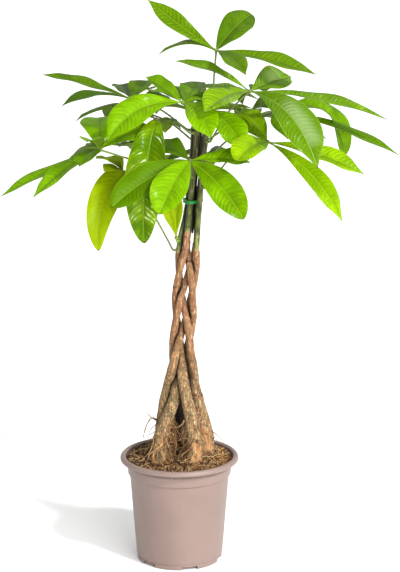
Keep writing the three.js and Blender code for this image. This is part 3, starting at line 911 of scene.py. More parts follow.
@dataclass(frozen=True)
class TiePlastic:
    """Smooth green plastic over wire, a little scuffed."""

    green: Colour = srgb(0, 112, 38)
    scuffed: Colour = srgb(8, 146, 56)
    scuffs: Pattern = Pattern(500, 4)
    relief: float = 0.0002

    def material(self) -> bpy.types.Material:
        """Makes the material.

        Returns:
            The material.
        """
        shader = Shader("tie_plastic")
        scuff = shader.noise(self.scuffs)
        return shader.finish({
            "Base Color": shader.layers(self.green, (scuff.ease(0.5, 0.7), self.scuffed)),
            "Roughness": 0.28 + scuff * 0.2,
            "Normal": shader.bump(scuff, self.relief),
        })


@dataclass(frozen=True)
class StudioWhite:
    """Matt white studio floor, very faintly clouded."""

    light: Colour = (0.86, 0.86, 0.86, 1.0)
    shade: Colour = (0.84, 0.84, 0.84, 1.0)
    clouds: Pattern = Pattern(1.5, 2)
    roughness: float = 0.9

    def material(self) -> bpy.types.Material:
        """Makes the material.

        Returns:
            The material.
        """
        shader = Shader("studio_white")
        colour = shader.layers(self.light, (shader.noise(self.clouds), self.shade))
        return shader.finish({"Base Color": colour, "Roughness": self.roughness})


class Growth:
    """Points and faces that are gathered into one piece, with the numbers that its points carry."""

    def __init__(self, *names: str) -> None:
        """Starts an empty piece.

        Args:
            *names: Names under which each point carries three numbers for the shader.
        """
        self.names = names
        self.points: list[np.ndarray] = []
        self.faces: list[list[int]] = []
        self.finishes: list[int] = []
        self.carried: list[list[np.ndarray]] = [[] for _ in names]
        self.count = 0

    def add(
        self,
        points: np.ndarray,
        faces: list[list[int]],
        carried: Sequence[Any] = (),
        finish: int = 0,
    ) -> None:
        """Adds a closed form.

        Args:
            points: Its points as rows.
            faces: Its faces, numbered from its own first point.
            carried: What its points carry under each name, or nothing for zeros.
            finish: Which of the piece's materials it has.
        """
        self.points.append(points)
        self.faces.extend([corner + self.count for corner in face] for face in faces)
        self.finishes.extend([finish] * len(faces))
        for index, kept in enumerate(self.carried):
            value = carried[index] if index < len(carried) else (0.0, 0.0, 0.0)
            kept.append(np.broadcast_to(np.asarray(value, float), points.shape))
        self.count += len(points)

    def tube(self, path: np.ndarray, radii: Any, sides: int, carried: Sequence[Any] = ()) -> None:
        """Adds a closed tube round a path.

        Args:
            path: Middles of the rings.
            radii: One radius, or one for each ring.
            sides: How many sides it has.
            carried: What its points carry.
        """
        self.add(tube_points(path, radii, sides), ring_faces(len(path), sides), carried)

    def grow(
        self,
        name: str,
        finishes: Sequence[bpy.types.Material],
        stands_for: Sequence[str] = (),
        crease: float = 50.0,
    ) -> bpy.types.Object:
        """Makes the piece, rides it on the body and hides the solids that it stands for.

        Args:
            name: Name of the piece.
            finishes: Its materials.
            stands_for: The solids that it stands for.
            crease: Angle in degrees over which an edge stays sharp.

        Returns:
            The piece.
        """
        mesh = bpy.data.meshes.new(name)
        mesh.from_pydata(np.vstack(self.points), [], self.faces)
        for key, kept in zip(self.names, self.carried):
            layer = mesh.attributes.new(key, "FLOAT_VECTOR", "POINT")
            layer.data.foreach_set("vector", np.vstack(kept).astype(np.float32).ravel())
        for finish in finishes:
            mesh.materials.append(finish)
        mesh.polygons.foreach_set("material_index", self.finishes)
        mesh.shade_smooth()
        mesh.set_sharp_from_angle(angle=math.radians(crease))
        piece = bpy.data.objects.new(name, mesh)
        bpy.context.collection.objects.link(piece)
        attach(piece, BODY)
        if stands_for:
            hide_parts(*stands_for)
        LOG.info("%s: %d triangles", name, sum(len(face) - 2 for face in self.faces))
        return piece


@dataclass(frozen=True)
class Stem:
    """One of the five young trees: its place in the braid, its foot and where bark and shoot end.

    It leaves the braid for its foot at the level low, and is as far back as its foot at the level
    fore. Slot is its direction in the bundle of shoots, and scars are the heights of its ring scars.
    """

    phase: float
    foot: Span
    low: float
    fore: float
    bark: float
    top: float
    slot: float
    scars: tuple[float, ...]


# Height below which a stem stands over its foot.
FEET = 0.172
STEMS = (
    Stem(0, (0.022, -0.0205), 0.318, 0.258, 0.484, 0.640, 238, (0.222, 0.287, 0.352, 0.404, 0.449)),
    Stem(210, (-0.027, -0.013), 0.259, FEET, 0.470, 0.634, 94, (0.218, 0.263, 0.331, 0.389, 0.441)),
    Stem(70, (0.002, 0.0205), 0.259, FEET, 0.466, 0.646, 22, (0.236, 0.301, 0.362, 0.425)),
    Stem(291, (0.038, 0.010), 0.259, FEET, 0.453, 0.630, 166, (0.241, 0.296, 0.343, 0.398)),
    Stem(140, (-0.024, 0.014), 0.259, FEET, 0.458, 0.638, 310, (0.229, 0.312, 0.371, 0.4235, 0.4285, 0.4325)),
)


@dataclass(frozen=True)
class Root:
    """A surface root of a stem: its thickness, the points it runs through, its peel and how much painted
    shade it carries.
    """

    stem: int
    radius: float
    path: tuple[Triple, ...]
    peel: float = 0.0
    shade: float = 0.0


# The last two lie between stems low in the trunk, where the background would show through, and carry painted
# shade that stands for the shadow there.
ROOTS = (
    Root(0, 0.0034, ((0.024, -0.020, 0.162), (0.027, -0.029, 0.155), (0.026, -0.035, 0.147)), peel=1.0),
    Root(1, 0.0026, (
        (-0.019, -0.020, 0.184), (-0.027, -0.025, 0.175), (-0.036, -0.022, 0.165),
        (-0.037, -0.025, 0.157), (-0.034, -0.030, 0.147),
    ), peel=1.0),
    Root(4, 0.0013, (
        (-0.028, 0.011, 0.196), (-0.038, 0.008, 0.207), (-0.045, 0.005, 0.201),
        (-0.050, 0.002, 0.188), (-0.052, 0.001, 0.179),
    )),
    Root(4, 0.001, ((-0.034, 0.009, 0.203), (-0.041, 0.0075, 0.208), (-0.047, 0.005, 0.217))),
    Root(4, 0.003, (
        (-0.0155, 0.0125, 0.224), (-0.0116, 0.0145, 0.208), (-0.0112, 0.0155, 0.190),
        (-0.0116, 0.0165, 0.170), (-0.013, 0.018, 0.146),
    ), shade=0.6),
    Root(3, 0.0028, (
        (0.0155, 0.0, 0.302), (0.0122, 0.004, 0.291), (0.0116, 0.006, 0.280),
        (0.0118, 0.007, 0.270), (0.0165, 0.008, 0.256),
    ), shade=0.8),
)


@dataclass(frozen=True)
class Braid:
    """The paths of the five stems, braided together, and of the shoots that they turn into."""

    half_turn: float = 0.1675
    zero: float = 0.475
    high: float = 0.458
    tie: float = 0.525
    # Clear distance between strands over which the painted shade of a crevice fades.
    dark: Span = (0.0014, 0.0050)
    # How far from the trunk's middle the painted shade between the feet reaches, and where it ends above.
    painted_shade_core: Span = (0.010, 0.019)
    painted_shade_core_top: Span = (0.262, 0.300)

    def centre(self, index: int, height: Any) -> np.ndarray:
        """Finds the middle of a stem or shoot at some heights.

        Args:
            index: Which stem.
            height: One height or several.

        Returns:
            The middles as rows.
        """
        stem = STEMS[index]
        level = np.atleast_1d(np.asarray(height, float))
        lean = lookup(TRUNK_LEAN, level)
        held = np.clip(level, stem.low, self.high)
        phase = np.radians(stem.phase + 180 * (held - self.zero) / self.half_turn)
        right = lean + lookup(SWING, level) * np.sin(phase)
        back = lookup(DEPTH, level) * np.sin(2 * phase)
        right = stem.foot[0] + (right - stem.foot[0]) * smoothstep(level, FEET, stem.low)
        back = stem.foot[1] + (back - stem.foot[1]) * smoothstep(level, stem.fore, stem.low)
        up = smoothstep(level, self.high, self.tie)
        reach = lookup(OUTER_SHOOT_RADIUS if index == OUTER_SHOOT else BUNDLE_RADIUS, level)
        slot = math.radians(stem.slot)
        right = right + (lean + reach * math.cos(slot) - right) * up
        back = back + (reach * math.sin(slot) - back) * up
        return np.stack([right, back, level], axis=1)

    def painted_crevice_shade(self, index: int, points: np.ndarray) -> np.ndarray:
        """Tells how much painted shade points of one strand take in crevices and between the feet, from 0 to
        1.

        Args:
            index: The strand that the points are on.
            points: The points as rows.

        Returns:
            The amounts of painted shade.
        """
        deep = np.zeros(len(points))
        for other in range(len(STEMS)):
            if other != index:
                off = np.linalg.norm(points - self.centre(other, points[:, 2]), axis=1)
                clear = off - lookup(STEM_RADIUS, points[:, 2])
                deep = np.maximum(deep, 1 - smoothstep(clear, *self.dark))
        lean = lookup(TRUNK_LEAN, points[:, 2])
        inward = np.hypot(points[:, 0] - lean, points[:, 1])
        # Painted shade in the hollow between the feet, where the background would show through.
        painted_shade_core = (1 - smoothstep(inward, *self.painted_shade_core)) * (1 - smoothstep(points[:, 2], *self.painted_shade_core_top))
        return np.maximum(deep, painted_shade_core)


@dataclass(frozen=True)
class BarkedStems:
    """The bark-covered stems with their feet, ring scars, peeled places and surface roots."""

    buried: float = 0.134
    step: float = 0.0024
    sides: int = 30
    # How full the bark makes a strand at some heights: most where the feet begin to part.
    plump: Table = (
        (0.175, 1.0), (0.195, 1.07), (0.245, 1.06), (0.270, 1.16), (0.284, 1.22), (0.300, 1.12),
        (0.400, 1.04),
    )
    # Height, wave length and seed of the bark's unevenness, and of the knots about the feet.
    relief: Layers = ((0.00016, 0.030, 10), (0.00012, (0.005, 0.005, 0.022), 20), (0.00007, 0.0035, 30))
    knots: Layers = ((0.0010, 0.011, 40), (0.0005, 0.005, 50))
    knotty: Span = (0.165, 0.222)
    scar_width: float = 0.0011
    scar_rise: float = 0.00025
    # How far the bark draws in at its upper end, and over what height.
    lip: float = 0.28
    lip_height: float = 0.0016
    # Places where the bark has come off: right, back, up and how far it reaches.
    peeled: tuple[tuple[float, float, float, float], ...] = (
        (0.024, -0.032, 0.156, 0.018),
        (0.028, -0.030, 0.168, 0.014),
        (0.022, -0.031, 0.177, 0.011),
        (0.037, -0.001, 0.179, 0.014),
        (0.043, 0.000, 0.167, 0.012),
        (0.034, 0.000, 0.190, 0.009),
        (-0.020, -0.024, 0.183, 0.009),
        (-0.010, -0.014, 0.198, 0.009),
        (-0.006, -0.012, 0.306, 0.008),
    )
    root_steps: int = 26
    root_sides: int = 10
    root_relief: Layers = ((0.14, 0.008, 70),)

    def bare(self, points: np.ndarray) -> np.ndarray:
        """Tells how far the bark has come off at some points.

        Args:
            points: The points as rows.

        Returns:
            A share from 0 to 1 for each point.
        """
        off = np.zeros(len(points))
        for right, back, up, reach in self.peeled:
            distance = np.linalg.norm(points - np.array((right, back, up)), axis=1)
            off = np.maximum(off, 1 - distance / reach)
        return np.clip(off, 0, 1)

    def build(self, braid: Braid, index: int, bark: bpy.types.Material) -> None:
        """Builds one stem with its surface roots.

        Args:
            braid: The paths of the stems.
            index: Which stem.
            bark: Its material.
        """
        stem = STEMS[index]
        levels = np.linspace(self.buried, stem.bark, int((stem.bark - self.buried) / self.step))
        middles = braid.centre(index, levels)
        out = circle(self.sides)
        radius = (lookup(STEM_RADIUS, levels) * lookup(self.plump, levels))[:, None] * np.ones(self.sides)
        surface = middles[:, None] + out * radius[..., None]
        knotty = 1 - smoothstep(levels, *self.knotty)[:, None]
        relief = rough(surface, self.relief, index) + knotty * rough(surface, self.knots, index)
        scar = np.zeros((len(levels), 1))
        for place in stem.scars:
            scar = np.maximum(scar, bell(levels - place, self.scar_width)[:, None])
        uneven = 0.5 + 0.5 * np.clip(waves(surface, 0.012, 60 + index), -1, 1)
        relief += self.scar_rise * scar * uneven
        rim = smoothstep(levels, stem.bark, stem.bark - self.lip_height)[:, None]
        points = middles[:, None] + out * ((radius + relief) * (1 - self.lip + self.lip * rim))[..., None]
        points = points.reshape(-1, 3)
        fissure = (scar * smoothstep(uneven, 0.25, 0.75)).reshape(-1)
        # The third number is the painted shade in the crevices and between the feet.
        carried = np.stack([self.bare(points), fissure, braid.painted_crevice_shade(index, points)], axis=1)
        growth = Growth("bark")
        growth.add(points, ring_faces(len(levels), self.sides), [carried])
        for root in ROOTS:
            if root.stem == index:
                path = catmull_rom(root.path, self.root_steps)
                swell = 1 + rough(path, self.root_relief, index)
                taper = root.radius * np.linspace(1, 0.5, len(path)) * swell
                # The third number is the root's painted shade.
                growth.tube(path, taper, self.root_sides, [(root.peel, 0.0, root.shade)])
        growth.grow(f"stem_{index + 1}_bark", [bark], [f"stem_{index + 1}"])


@dataclass(frozen=True)
class Shoots:
    """The green shoots with their ribs, old leaf scars and end buds, and a tube of painted shade between two
    of them.
    """

    sides: int = 22
    step: float = 0.0026
    # How far a shoot reaches down into the bark of its stem.
    sunk: float = 0.001
    slim: float = 0.95
    bud: float = 0.009
    bud_rings: int = 7
    bud_taper: Span = (0.86, 0.8)
    ribs: int = 5
    rib_rise: float = 0.00016
    rib_twist: float = 9.0
    relief: Layers = ((0.00012, (0.004, 0.004, 0.03), 80),)
    # The leaf scars: how far from the shoot's two ends they lie, how far apart, and their turns in degrees.
    scar_ends: Span = (0.02, 0.006)
    scar_spacing: float = 0.019
    scar_turn: float = 137.5
    shoot_turn: float = 71.0
    scar_height: float = 0.0022
    scar_rise: float = 0.0005
    scar_facing: Span = (0.62, 0.95)
    # The fine ring over each leaf scar: how far above it, how wide and how high.
    ring_up: float = 0.003
    ring_width: float = 0.0007
    ring_rise: float = 0.0002
    shade_tube: Span = (0.478, 0.546)
    shade_tube_back: float = 0.0015
    shade_tube_radius: float = 0.0022
    shade_tube_rings: int = 24
    shade_tube_end: float = 0.3

    def build(self, braid: Braid, index: int, skin: bpy.types.Material) -> None:
        """Builds one shoot.

        Args:
            braid: The paths of the shoots.
            index: Which stem it grows on.
            skin: Its material.
        """
        stem = STEMS[index]
        levels = np.linspace(stem.bark - self.sunk, stem.top, int((stem.top - stem.bark) / self.step))
        levels = np.concatenate([levels, stem.top + self.bud * np.linspace(0.12, 1, self.bud_rings)])
        middles = braid.centre(index, levels)
        turns, out = even_turns(self.sides), circle(self.sides)
        share = (levels - stem.bark) / (stem.top - stem.bark)
        bud_share = np.clip((levels - stem.top) / self.bud, 0, 1)
        narrowing, roundness = self.bud_taper
        body = lookup(SHOOT_RADIUS, levels) * self.slim * (1 - narrowing * bud_share**roundness)
        surface = middles[:, None] + out * body[:, None, None]
        twist = turns[None, :] + self.rib_twist * levels[:, None] + index
        ridges = self.rib_rise * np.cos(self.ribs * twist) + rough(surface, self.relief, index)
        scar = np.zeros((len(levels), self.sides))
        above, below = self.scar_ends
        places = np.arange(stem.bark + above, stem.top - below, self.scar_spacing)
        for number, place in enumerate(places):
            faced = np.cos(turns - math.radians(index * self.shoot_turn + number * self.scar_turn))[None, :]
            oval = bell(levels - place, self.scar_height)[:, None] * smoothstep(faced, *self.scar_facing)
            ring = bell(levels - place - self.ring_up, self.ring_width)[:, None]
            scar = np.maximum(scar, oval)
            ridges = ridges + self.ring_rise * ring + self.scar_rise * oval
        reach = (body[:, None] + ridges * (1 - bud_share[:, None]))[..., None]
        points = (middles[:, None] + out * reach).reshape(-1, 3)
        # The third number is the painted shade where the shoots crowd each other.
        carried = [np.repeat(share, self.sides), scar.reshape(-1), braid.painted_crevice_shade(index, points)]
        growth = Growth("shoot")
        growth.add(points, ring_faces(len(levels), self.sides), [np.stack(carried, axis=1)])
        growth.grow(f"shoot_{index + 1}_skin", [skin], [f"shoot_{index + 1}"])

    def painted_shade_tube(self, braid: Braid, bark: bpy.types.Material) -> None:
        """Builds a thin tube between two of the shoots near the tie, all in painted shade, standing for the
        shadow there.

        Args:
            braid: The paths of the shoots.
            bark: Its material.
        """
        levels = np.linspace(*self.shade_tube, self.shade_tube_rings)
        path = (braid.centre(1, levels) + braid.centre(2, levels)) / 2 + (0.0, self.shade_tube_back, 0.0)
        swell = np.sin(np.linspace(self.shade_tube_end, math.pi - self.shade_tube_end, len(levels)))
        growth = Growth("bark")
        # The third number gives the tube the bark's painted shade all over.
        growth.tube(path, self.shade_tube_radius * swell**0.5, 10, [(0.0, 0.0, 1.0)])
        growth.grow("painted_shade_tube", [bark])


@dataclass(frozen=True)
class Soil:
    """The soil: a lumpy bed with crumbs, chips and bleached fibres lying on it."""

    # The surface: its level at the wall, how far it mounds up, how high its lumps are, the radius
    # where both end, and its finer lumps.
    edge: float = 0.1495
    mound: float = 0.0022
    lump: float = 0.0014
    full: float = 0.0755
    fine: Layers = ((0.0006, 0.009, 101), (0.0005, 0.0042, 102), (0.00035, 0.0019, 103))
    reach: float = 0.0750
    # Radii and heights of the bed's side, inside the pot.
    side: Table = ((0.0683, 0.120), (0.0712, 0.131), (0.0731, 0.146))
    middle: float = 0.0003
    sides: int = 220
    rings: int = 70
    ring_spacing: float = 0.8
    crumbs: int = 4400
    # Sizes of the crumbs: logarithm of the middle one and its spread, the smallest and the largest.
    crumb_size: Span = (-7.1, 0.55)
    crumb_limits: Span = (0.0004, 0.0028)
    crumb_form: Span = (0.3, 1.5)
    crumb_bumps: float = 0.35
    crumb_lift: float = 0.25
    crumb_margin: float = 0.0012
    crumb_tone: Span = (0.5, 2.2)
    crumb_crease: float = 25.0
    fibres: int = 760
    fibre_length: Span = (0.003, 0.014)
    fibre_radius: Span = (0.00020, 0.00052)
    fibre_lift: Span = (0.0006, 0.0014)
    fibre_steps: int = 6
    fibre_bend: float = 0.5
    fibre_wander: float = 0.16
    fibre_margin: float = 0.0005
    # Dry roots that run over the soil from the feet of the stems: right, back and above the soil.
    strays: tuple[tuple[Triple, ...], ...] = (
        ((0.031, -0.024, 0.005), (0.039, -0.016, 0.004), (0.048, -0.006, 0.002), (0.060, 0.004, 0.002),
         (0.069, 0.008, 0.002)),
        ((-0.004, -0.039, 0.001), (0.004, -0.036, 0.002), (0.010, -0.033, 0.004), (0.018, -0.028, 0.006)),
        ((0.012, -0.027, 0.002), (0.003, -0.023, 0.001), (-0.008, -0.027, 0.001), (-0.019, -0.024, 0.002)),
        ((-0.034, -0.024, 0.002), (-0.047, -0.019, 0.001), (-0.058, -0.022, 0.002)),
        ((0.042, 0.016, 0.002), (0.052, 0.024, 0.001), (0.060, 0.022, 0.002)),
    )
    stray_radius: float = 0.0009
    stray_steps: int = 26

    def level(self, right: Any, back: Any) -> np.ndarray:
        """Gives the height of the soil, with its mound and its fine lumps.

        Args:
            right: How far to the right, one place or several.
            back: How far to the back.

        Returns:
            The heights.
        """
        right, back = np.asarray(right, float), np.asarray(back, float)
        share = np.minimum(np.hypot(right, back) / self.full, 1)
        lump = np.sin(right / 0.007 + np.sin(back / 0.009)) * np.cos(back / 0.006 - np.sin(right / 0.011))
        flat = np.stack([right, back, np.zeros_like(right)], axis=-1)
        return self.edge + (self.mound + self.lump * lump) * (1 - share**4) + rough(flat, self.fine)

    def bed(self, peat: bpy.types.Material) -> None:
        """Builds the bed of soil.

        Args:
            peat: Its material.
        """
        out = circle(self.sides)
        rings = [radius * out + height * UP for radius, height in self.side]
        for share in np.linspace(0, 1, self.rings) ** self.ring_spacing:
            ring = out * (self.reach * (1 - share) + self.middle)
            rings.append(ring + self.level(ring[:, 0], ring[:, 1])[:, None] * UP)
        points = np.vstack(rings)
        tone = 0.25 + rough(points, [(0.25, 0.004, 104)])
        growth = Growth("peat")
        growth.add(points, ring_faces(len(rings), self.sides), [np.stack([tone, tone, tone], axis=1)])
        growth.grow("soil_bed", [peat], ["soil"])

    def litter(self, peat: bpy.types.Material) -> None:
        """Builds the crumbs and chips that lie on the bed, as one piece.

        Args:
            peat: Their material.
        """
        rng = np.random.default_rng(47)
        golden = (1 + math.sqrt(5)) / 2
        ring = [(0, a, b * golden) for a in (-1, 1) for b in (-1, 1)]
        corners = unit(np.array([np.roll(point, turn) for turn in range(3) for point in ring], float))
        faces = nearest_triangles(corners)
        growth = Growth("peat")
        for _ in range(self.crumbs):
            size = float(np.clip(rng.lognormal(*self.crumb_size), *self.crumb_limits))
            form = rng.uniform(*self.crumb_form, 3) * size
            turn = np.linalg.qr(rng.normal(size=(3, 3)))[0]
            turn = turn * np.sign(np.linalg.det(turn))
            right, back = self.spot(rng)
            middle = np.array((right, back, float(self.level(right, back)) + self.crumb_lift * size))
            bumps = 1 + rng.uniform(-self.crumb_bumps, self.crumb_bumps, (len(corners), 1))
            tone = rng.beta(*self.crumb_tone)
            growth.add(corners * bumps * form @ turn + middle, faces, [(tone, 0.0, 0.0)])
        growth.grow("soil_crumbs", [peat], (), self.crumb_crease)

    def spot(self, rng: np.random.Generator) -> Span:
        """Draws a place on the bed, each with the same chance.

        Args:
            rng: Source of the seeded draws.

        Returns:
            How far it lies to the right and to the back.
        """
        reach = (self.reach - self.crumb_margin) * math.sqrt(rng.uniform())
        turn = rng.uniform(0, 2 * math.pi)
        return reach * math.cos(turn), reach * math.sin(turn)

    def fibre(self, rng: np.random.Generator) -> np.ndarray:
        """Draws the points of one fibre that lie on the bed.

        Args:
            rng: Source of the seeded draws.

        Returns:
            The points as rows, fewer where it runs off the bed.
        """
        right, back = self.spot(rng)
        heading = rng.uniform(0, 2 * math.pi)
        bend = rng.normal(0, self.fibre_bend)
        length = rng.uniform(*self.fibre_length)
        lift, arch = self.fibre_lift
        path = []
        for share in np.linspace(0, 1, self.fibre_steps + 1):
            height = float(self.level(right, back)) + lift + arch * math.sin(3.1 * share)
            path.append((right, back, height))
            heading += bend / self.fibre_steps + rng.normal(0, self.fibre_wander)
            right += math.cos(heading) * length / self.fibre_steps
            back += math.sin(heading) * length / self.fibre_steps
        reach = self.reach - self.fibre_margin
        return np.array([point for point in path if math.hypot(point[0], point[1]) < reach])

    def straw(self, root: bpy.types.Material) -> None:
        """Builds the bleached fibres and the dry roots that lie on the bed, as one piece.

        Args:
            root: Their material.
        """
        rng = np.random.default_rng(59)
        growth = Growth("peat")
        for _ in range(self.fibres):
            inside = self.fibre(rng)
            if len(inside) > 3:
                radius = rng.uniform(*self.fibre_radius)
                growth.tube(inside, radius, 4, [(rng.uniform(0.5, 1), 0.0, 0.0)])
        for stray in self.strays:
            path = catmull_rom(stray, self.stray_steps)
            path[:, 2] += self.level(path[:, 0], path[:, 1])
            growth.tube(path, self.stray_radius * np.linspace(1, 0.5, len(path)), 7, [(0.95, 0.0, 0.0)])
        growth.grow("soil_fibres", [root])

    def build(self) -> None:
        """Builds the bed and all that lies on it."""
        peat = Peat().material()
        self.bed(peat)
        self.litter(peat)
        self.straw(RootSkin().material())


@dataclass(frozen=True)
class Rootlets:
    """Fine roots that hang between the feet of the stems and run off over the soil."""

    outward: int = 130
    inward: int = 300
    # How likely each stem is to grow one, outward and into the gap between the feet.
    outward_odds: tuple[float, ...] = (0.2, 0.3, 0.1, 0.15, 0.25)
    inward_odds: tuple[float, ...] = (0.2, 0.4, 0.2, 0.0, 0.2)
    outward_levels: Span = (0.150, 0.191)
    inward_levels: Span = (0.150, 0.212)
    # Middle and spread of the directions that they start in.
    outward_angle: Span = (-1.7, 1.1)
    inward_spread: float = 0.7
    gap_middle: Span = (-0.007, -0.010)
    start: float = 0.96
    step: float = 0.0026
    steps: tuple[int, int] = (5, 15)
    drop: float = 0.5
    sag: float = 0.22
    wobble: float = 0.34
    clear: float = 0.0005
    thick: Span = (0.00028, 0.0009)
    taper: float = 0.45
    outward_tone: Span = (1.6, 1.5)
    inward_tone: Span = (1.5, 1.7)

    def wander(self, rng: np.random.Generator, braid: Braid, soil: Soil, inward: bool) -> np.ndarray:
        """Follows one fine root from its stem down to the soil.

        Args:
            rng: Source of the seeded draws.
            braid: The trunk that it keeps clear of.
            soil: The soil that it lies on.
            inward: Whether it grows into the gap between the feet, instead of outward.

        Returns:
            The points it runs through.
        """
        index = int(rng.choice(len(STEMS), p=self.inward_odds if inward else self.outward_odds))
        level = rng.uniform(*(self.inward_levels if inward else self.outward_levels))
        if inward:
            gap = np.array(self.gap_middle) - braid.centre(index, level)[0, :2]
            angle = math.atan2(gap[1], gap[0]) + rng.normal(0, self.inward_spread)
        else:
            angle = rng.normal(*self.outward_angle)
        out = toward(angle)
        point = braid.centre(index, level)[0] + out * lookup(STEM_RADIUS, level) * self.start
        way = unit(out * 0.6 + rng.normal(0, 0.45, 3) - self.drop * UP)
        path = [point]
        for _ in range(int(rng.integers(*self.steps))):
            way = unit(way + rng.normal(0, self.wobble, 3) - self.sag * UP)
            point = point + way * self.step
            for other in range(len(STEMS)):
                off = point - braid.centre(other, point[2])[0]
                near = float(np.hypot(off[0], off[1]))
                keep = float(lookup(STEM_RADIUS, point[2])) + self.clear
                if 0 < near < keep:
                    point = point + off * (keep / near - 1)
            ground = float(soil.level(point[0], point[1])) + self.clear
            if point[2] < ground:
                point[2] = ground
                way[2] = abs(way[2]) * 0.3
            path.append(point)
        return np.array(path)

    def build(self, braid: Braid, soil: Soil) -> None:
        """Builds all fine roots as one piece.

        Args:
            braid: The trunk that they grow on.
            soil: The soil that they lie on.
        """
        rng = np.random.default_rng(31)
        growth = Growth("peat")
        for number in range(self.outward + self.inward):
            inward = number >= self.outward
            path = catmull_rom(self.wander(rng, braid, soil, inward), 16)
            radii = rng.uniform(*self.thick) * np.linspace(1, self.taper, len(path))
            tone = rng.beta(*(self.inward_tone if inward else self.outward_tone))
            growth.tube(path, radii, 5, [(tone, 0.0, 0.0)])
        growth.grow("rootlets", [RootSkin().material()])


@dataclass(frozen=True)
class Tie:
    """Green plastic-covered wire, wound twice round four of the shoots, with its ends twisted."""

    wire: float = 0.0015
    windings: int = 2
    pitch: float = 0.0026
    gap: float = 0.00035
    flat: float = 0.85
    # How far a winding sways up and down, and how much further round each higher one starts.
    sway: float = 0.0005
    sway_turn: float = 700.0
    steps: int = 120
    sides: int = 12
    tail: tuple[Triple, ...] = ((0.019, 0.013, 0.525), (0.017, 0.018, 0.528), (0.019, 0.022, 0.534))
    tail_steps: int = 40
    strand: float = 0.0008
    strand_sides: int = 8
    coil: float = 0.0007
    twists: float = 2.5

    def winding(self, growth: Growth, braid: Braid, level: float) -> None:
        """Adds one winding round the shoots.

        Args:
            growth: The piece that it is added to.
            braid: The shoots that it holds.
            level: Its height.
        """
        held = np.vstack([braid.centre(i, level) for i in range(len(STEMS)) if i != OUTER_SHOOT])
        reach = float(lookup(SHOOT_RADIUS, level)) + self.gap + self.wire
        rolls = even_turns(self.sides)
        rings = []
        for turn in even_turns(self.steps):
            out = toward(turn)
            sway = self.sway * math.sin(turn + self.sway_turn * level)
            middle = held[np.argmax(held @ out)] + out * reach + UP * sway
            section = np.outer(self.flat * np.cos(rolls), out) - np.outer(np.sin(rolls), UP)
            rings.append(middle + self.wire * section)
        growth.add(np.vstack(rings), ring_faces(self.steps, self.sides, True))

    def build(self, braid: Braid) -> None:
        """Builds the windings and the two ends, which wind round each other.

        Args:
            braid: The shoots that they hold.
        """
        growth = Growth()
        for number in range(self.windings):
            self.winding(growth, braid, braid.tie + number * self.pitch)
        path = catmull_rom(self.tail, self.tail_steps)
        run = unit(path[-1] - path[0])
        side = unit(np.cross(run, UP))
        turns = np.linspace(0, 2 * math.pi * self.twists, len(path))
        for start in (0.0, math.pi):
            cos, sin = np.cos(turns + start), np.sin(turns + start)
            wound = np.outer(cos, side) + np.outer(sin, np.cross(run, side))
            growth.tube(path + self.coil * wound, self.strand, self.strand_sides)
        growth.grow("tie_twist", [TiePlastic().material()], ["tie"])


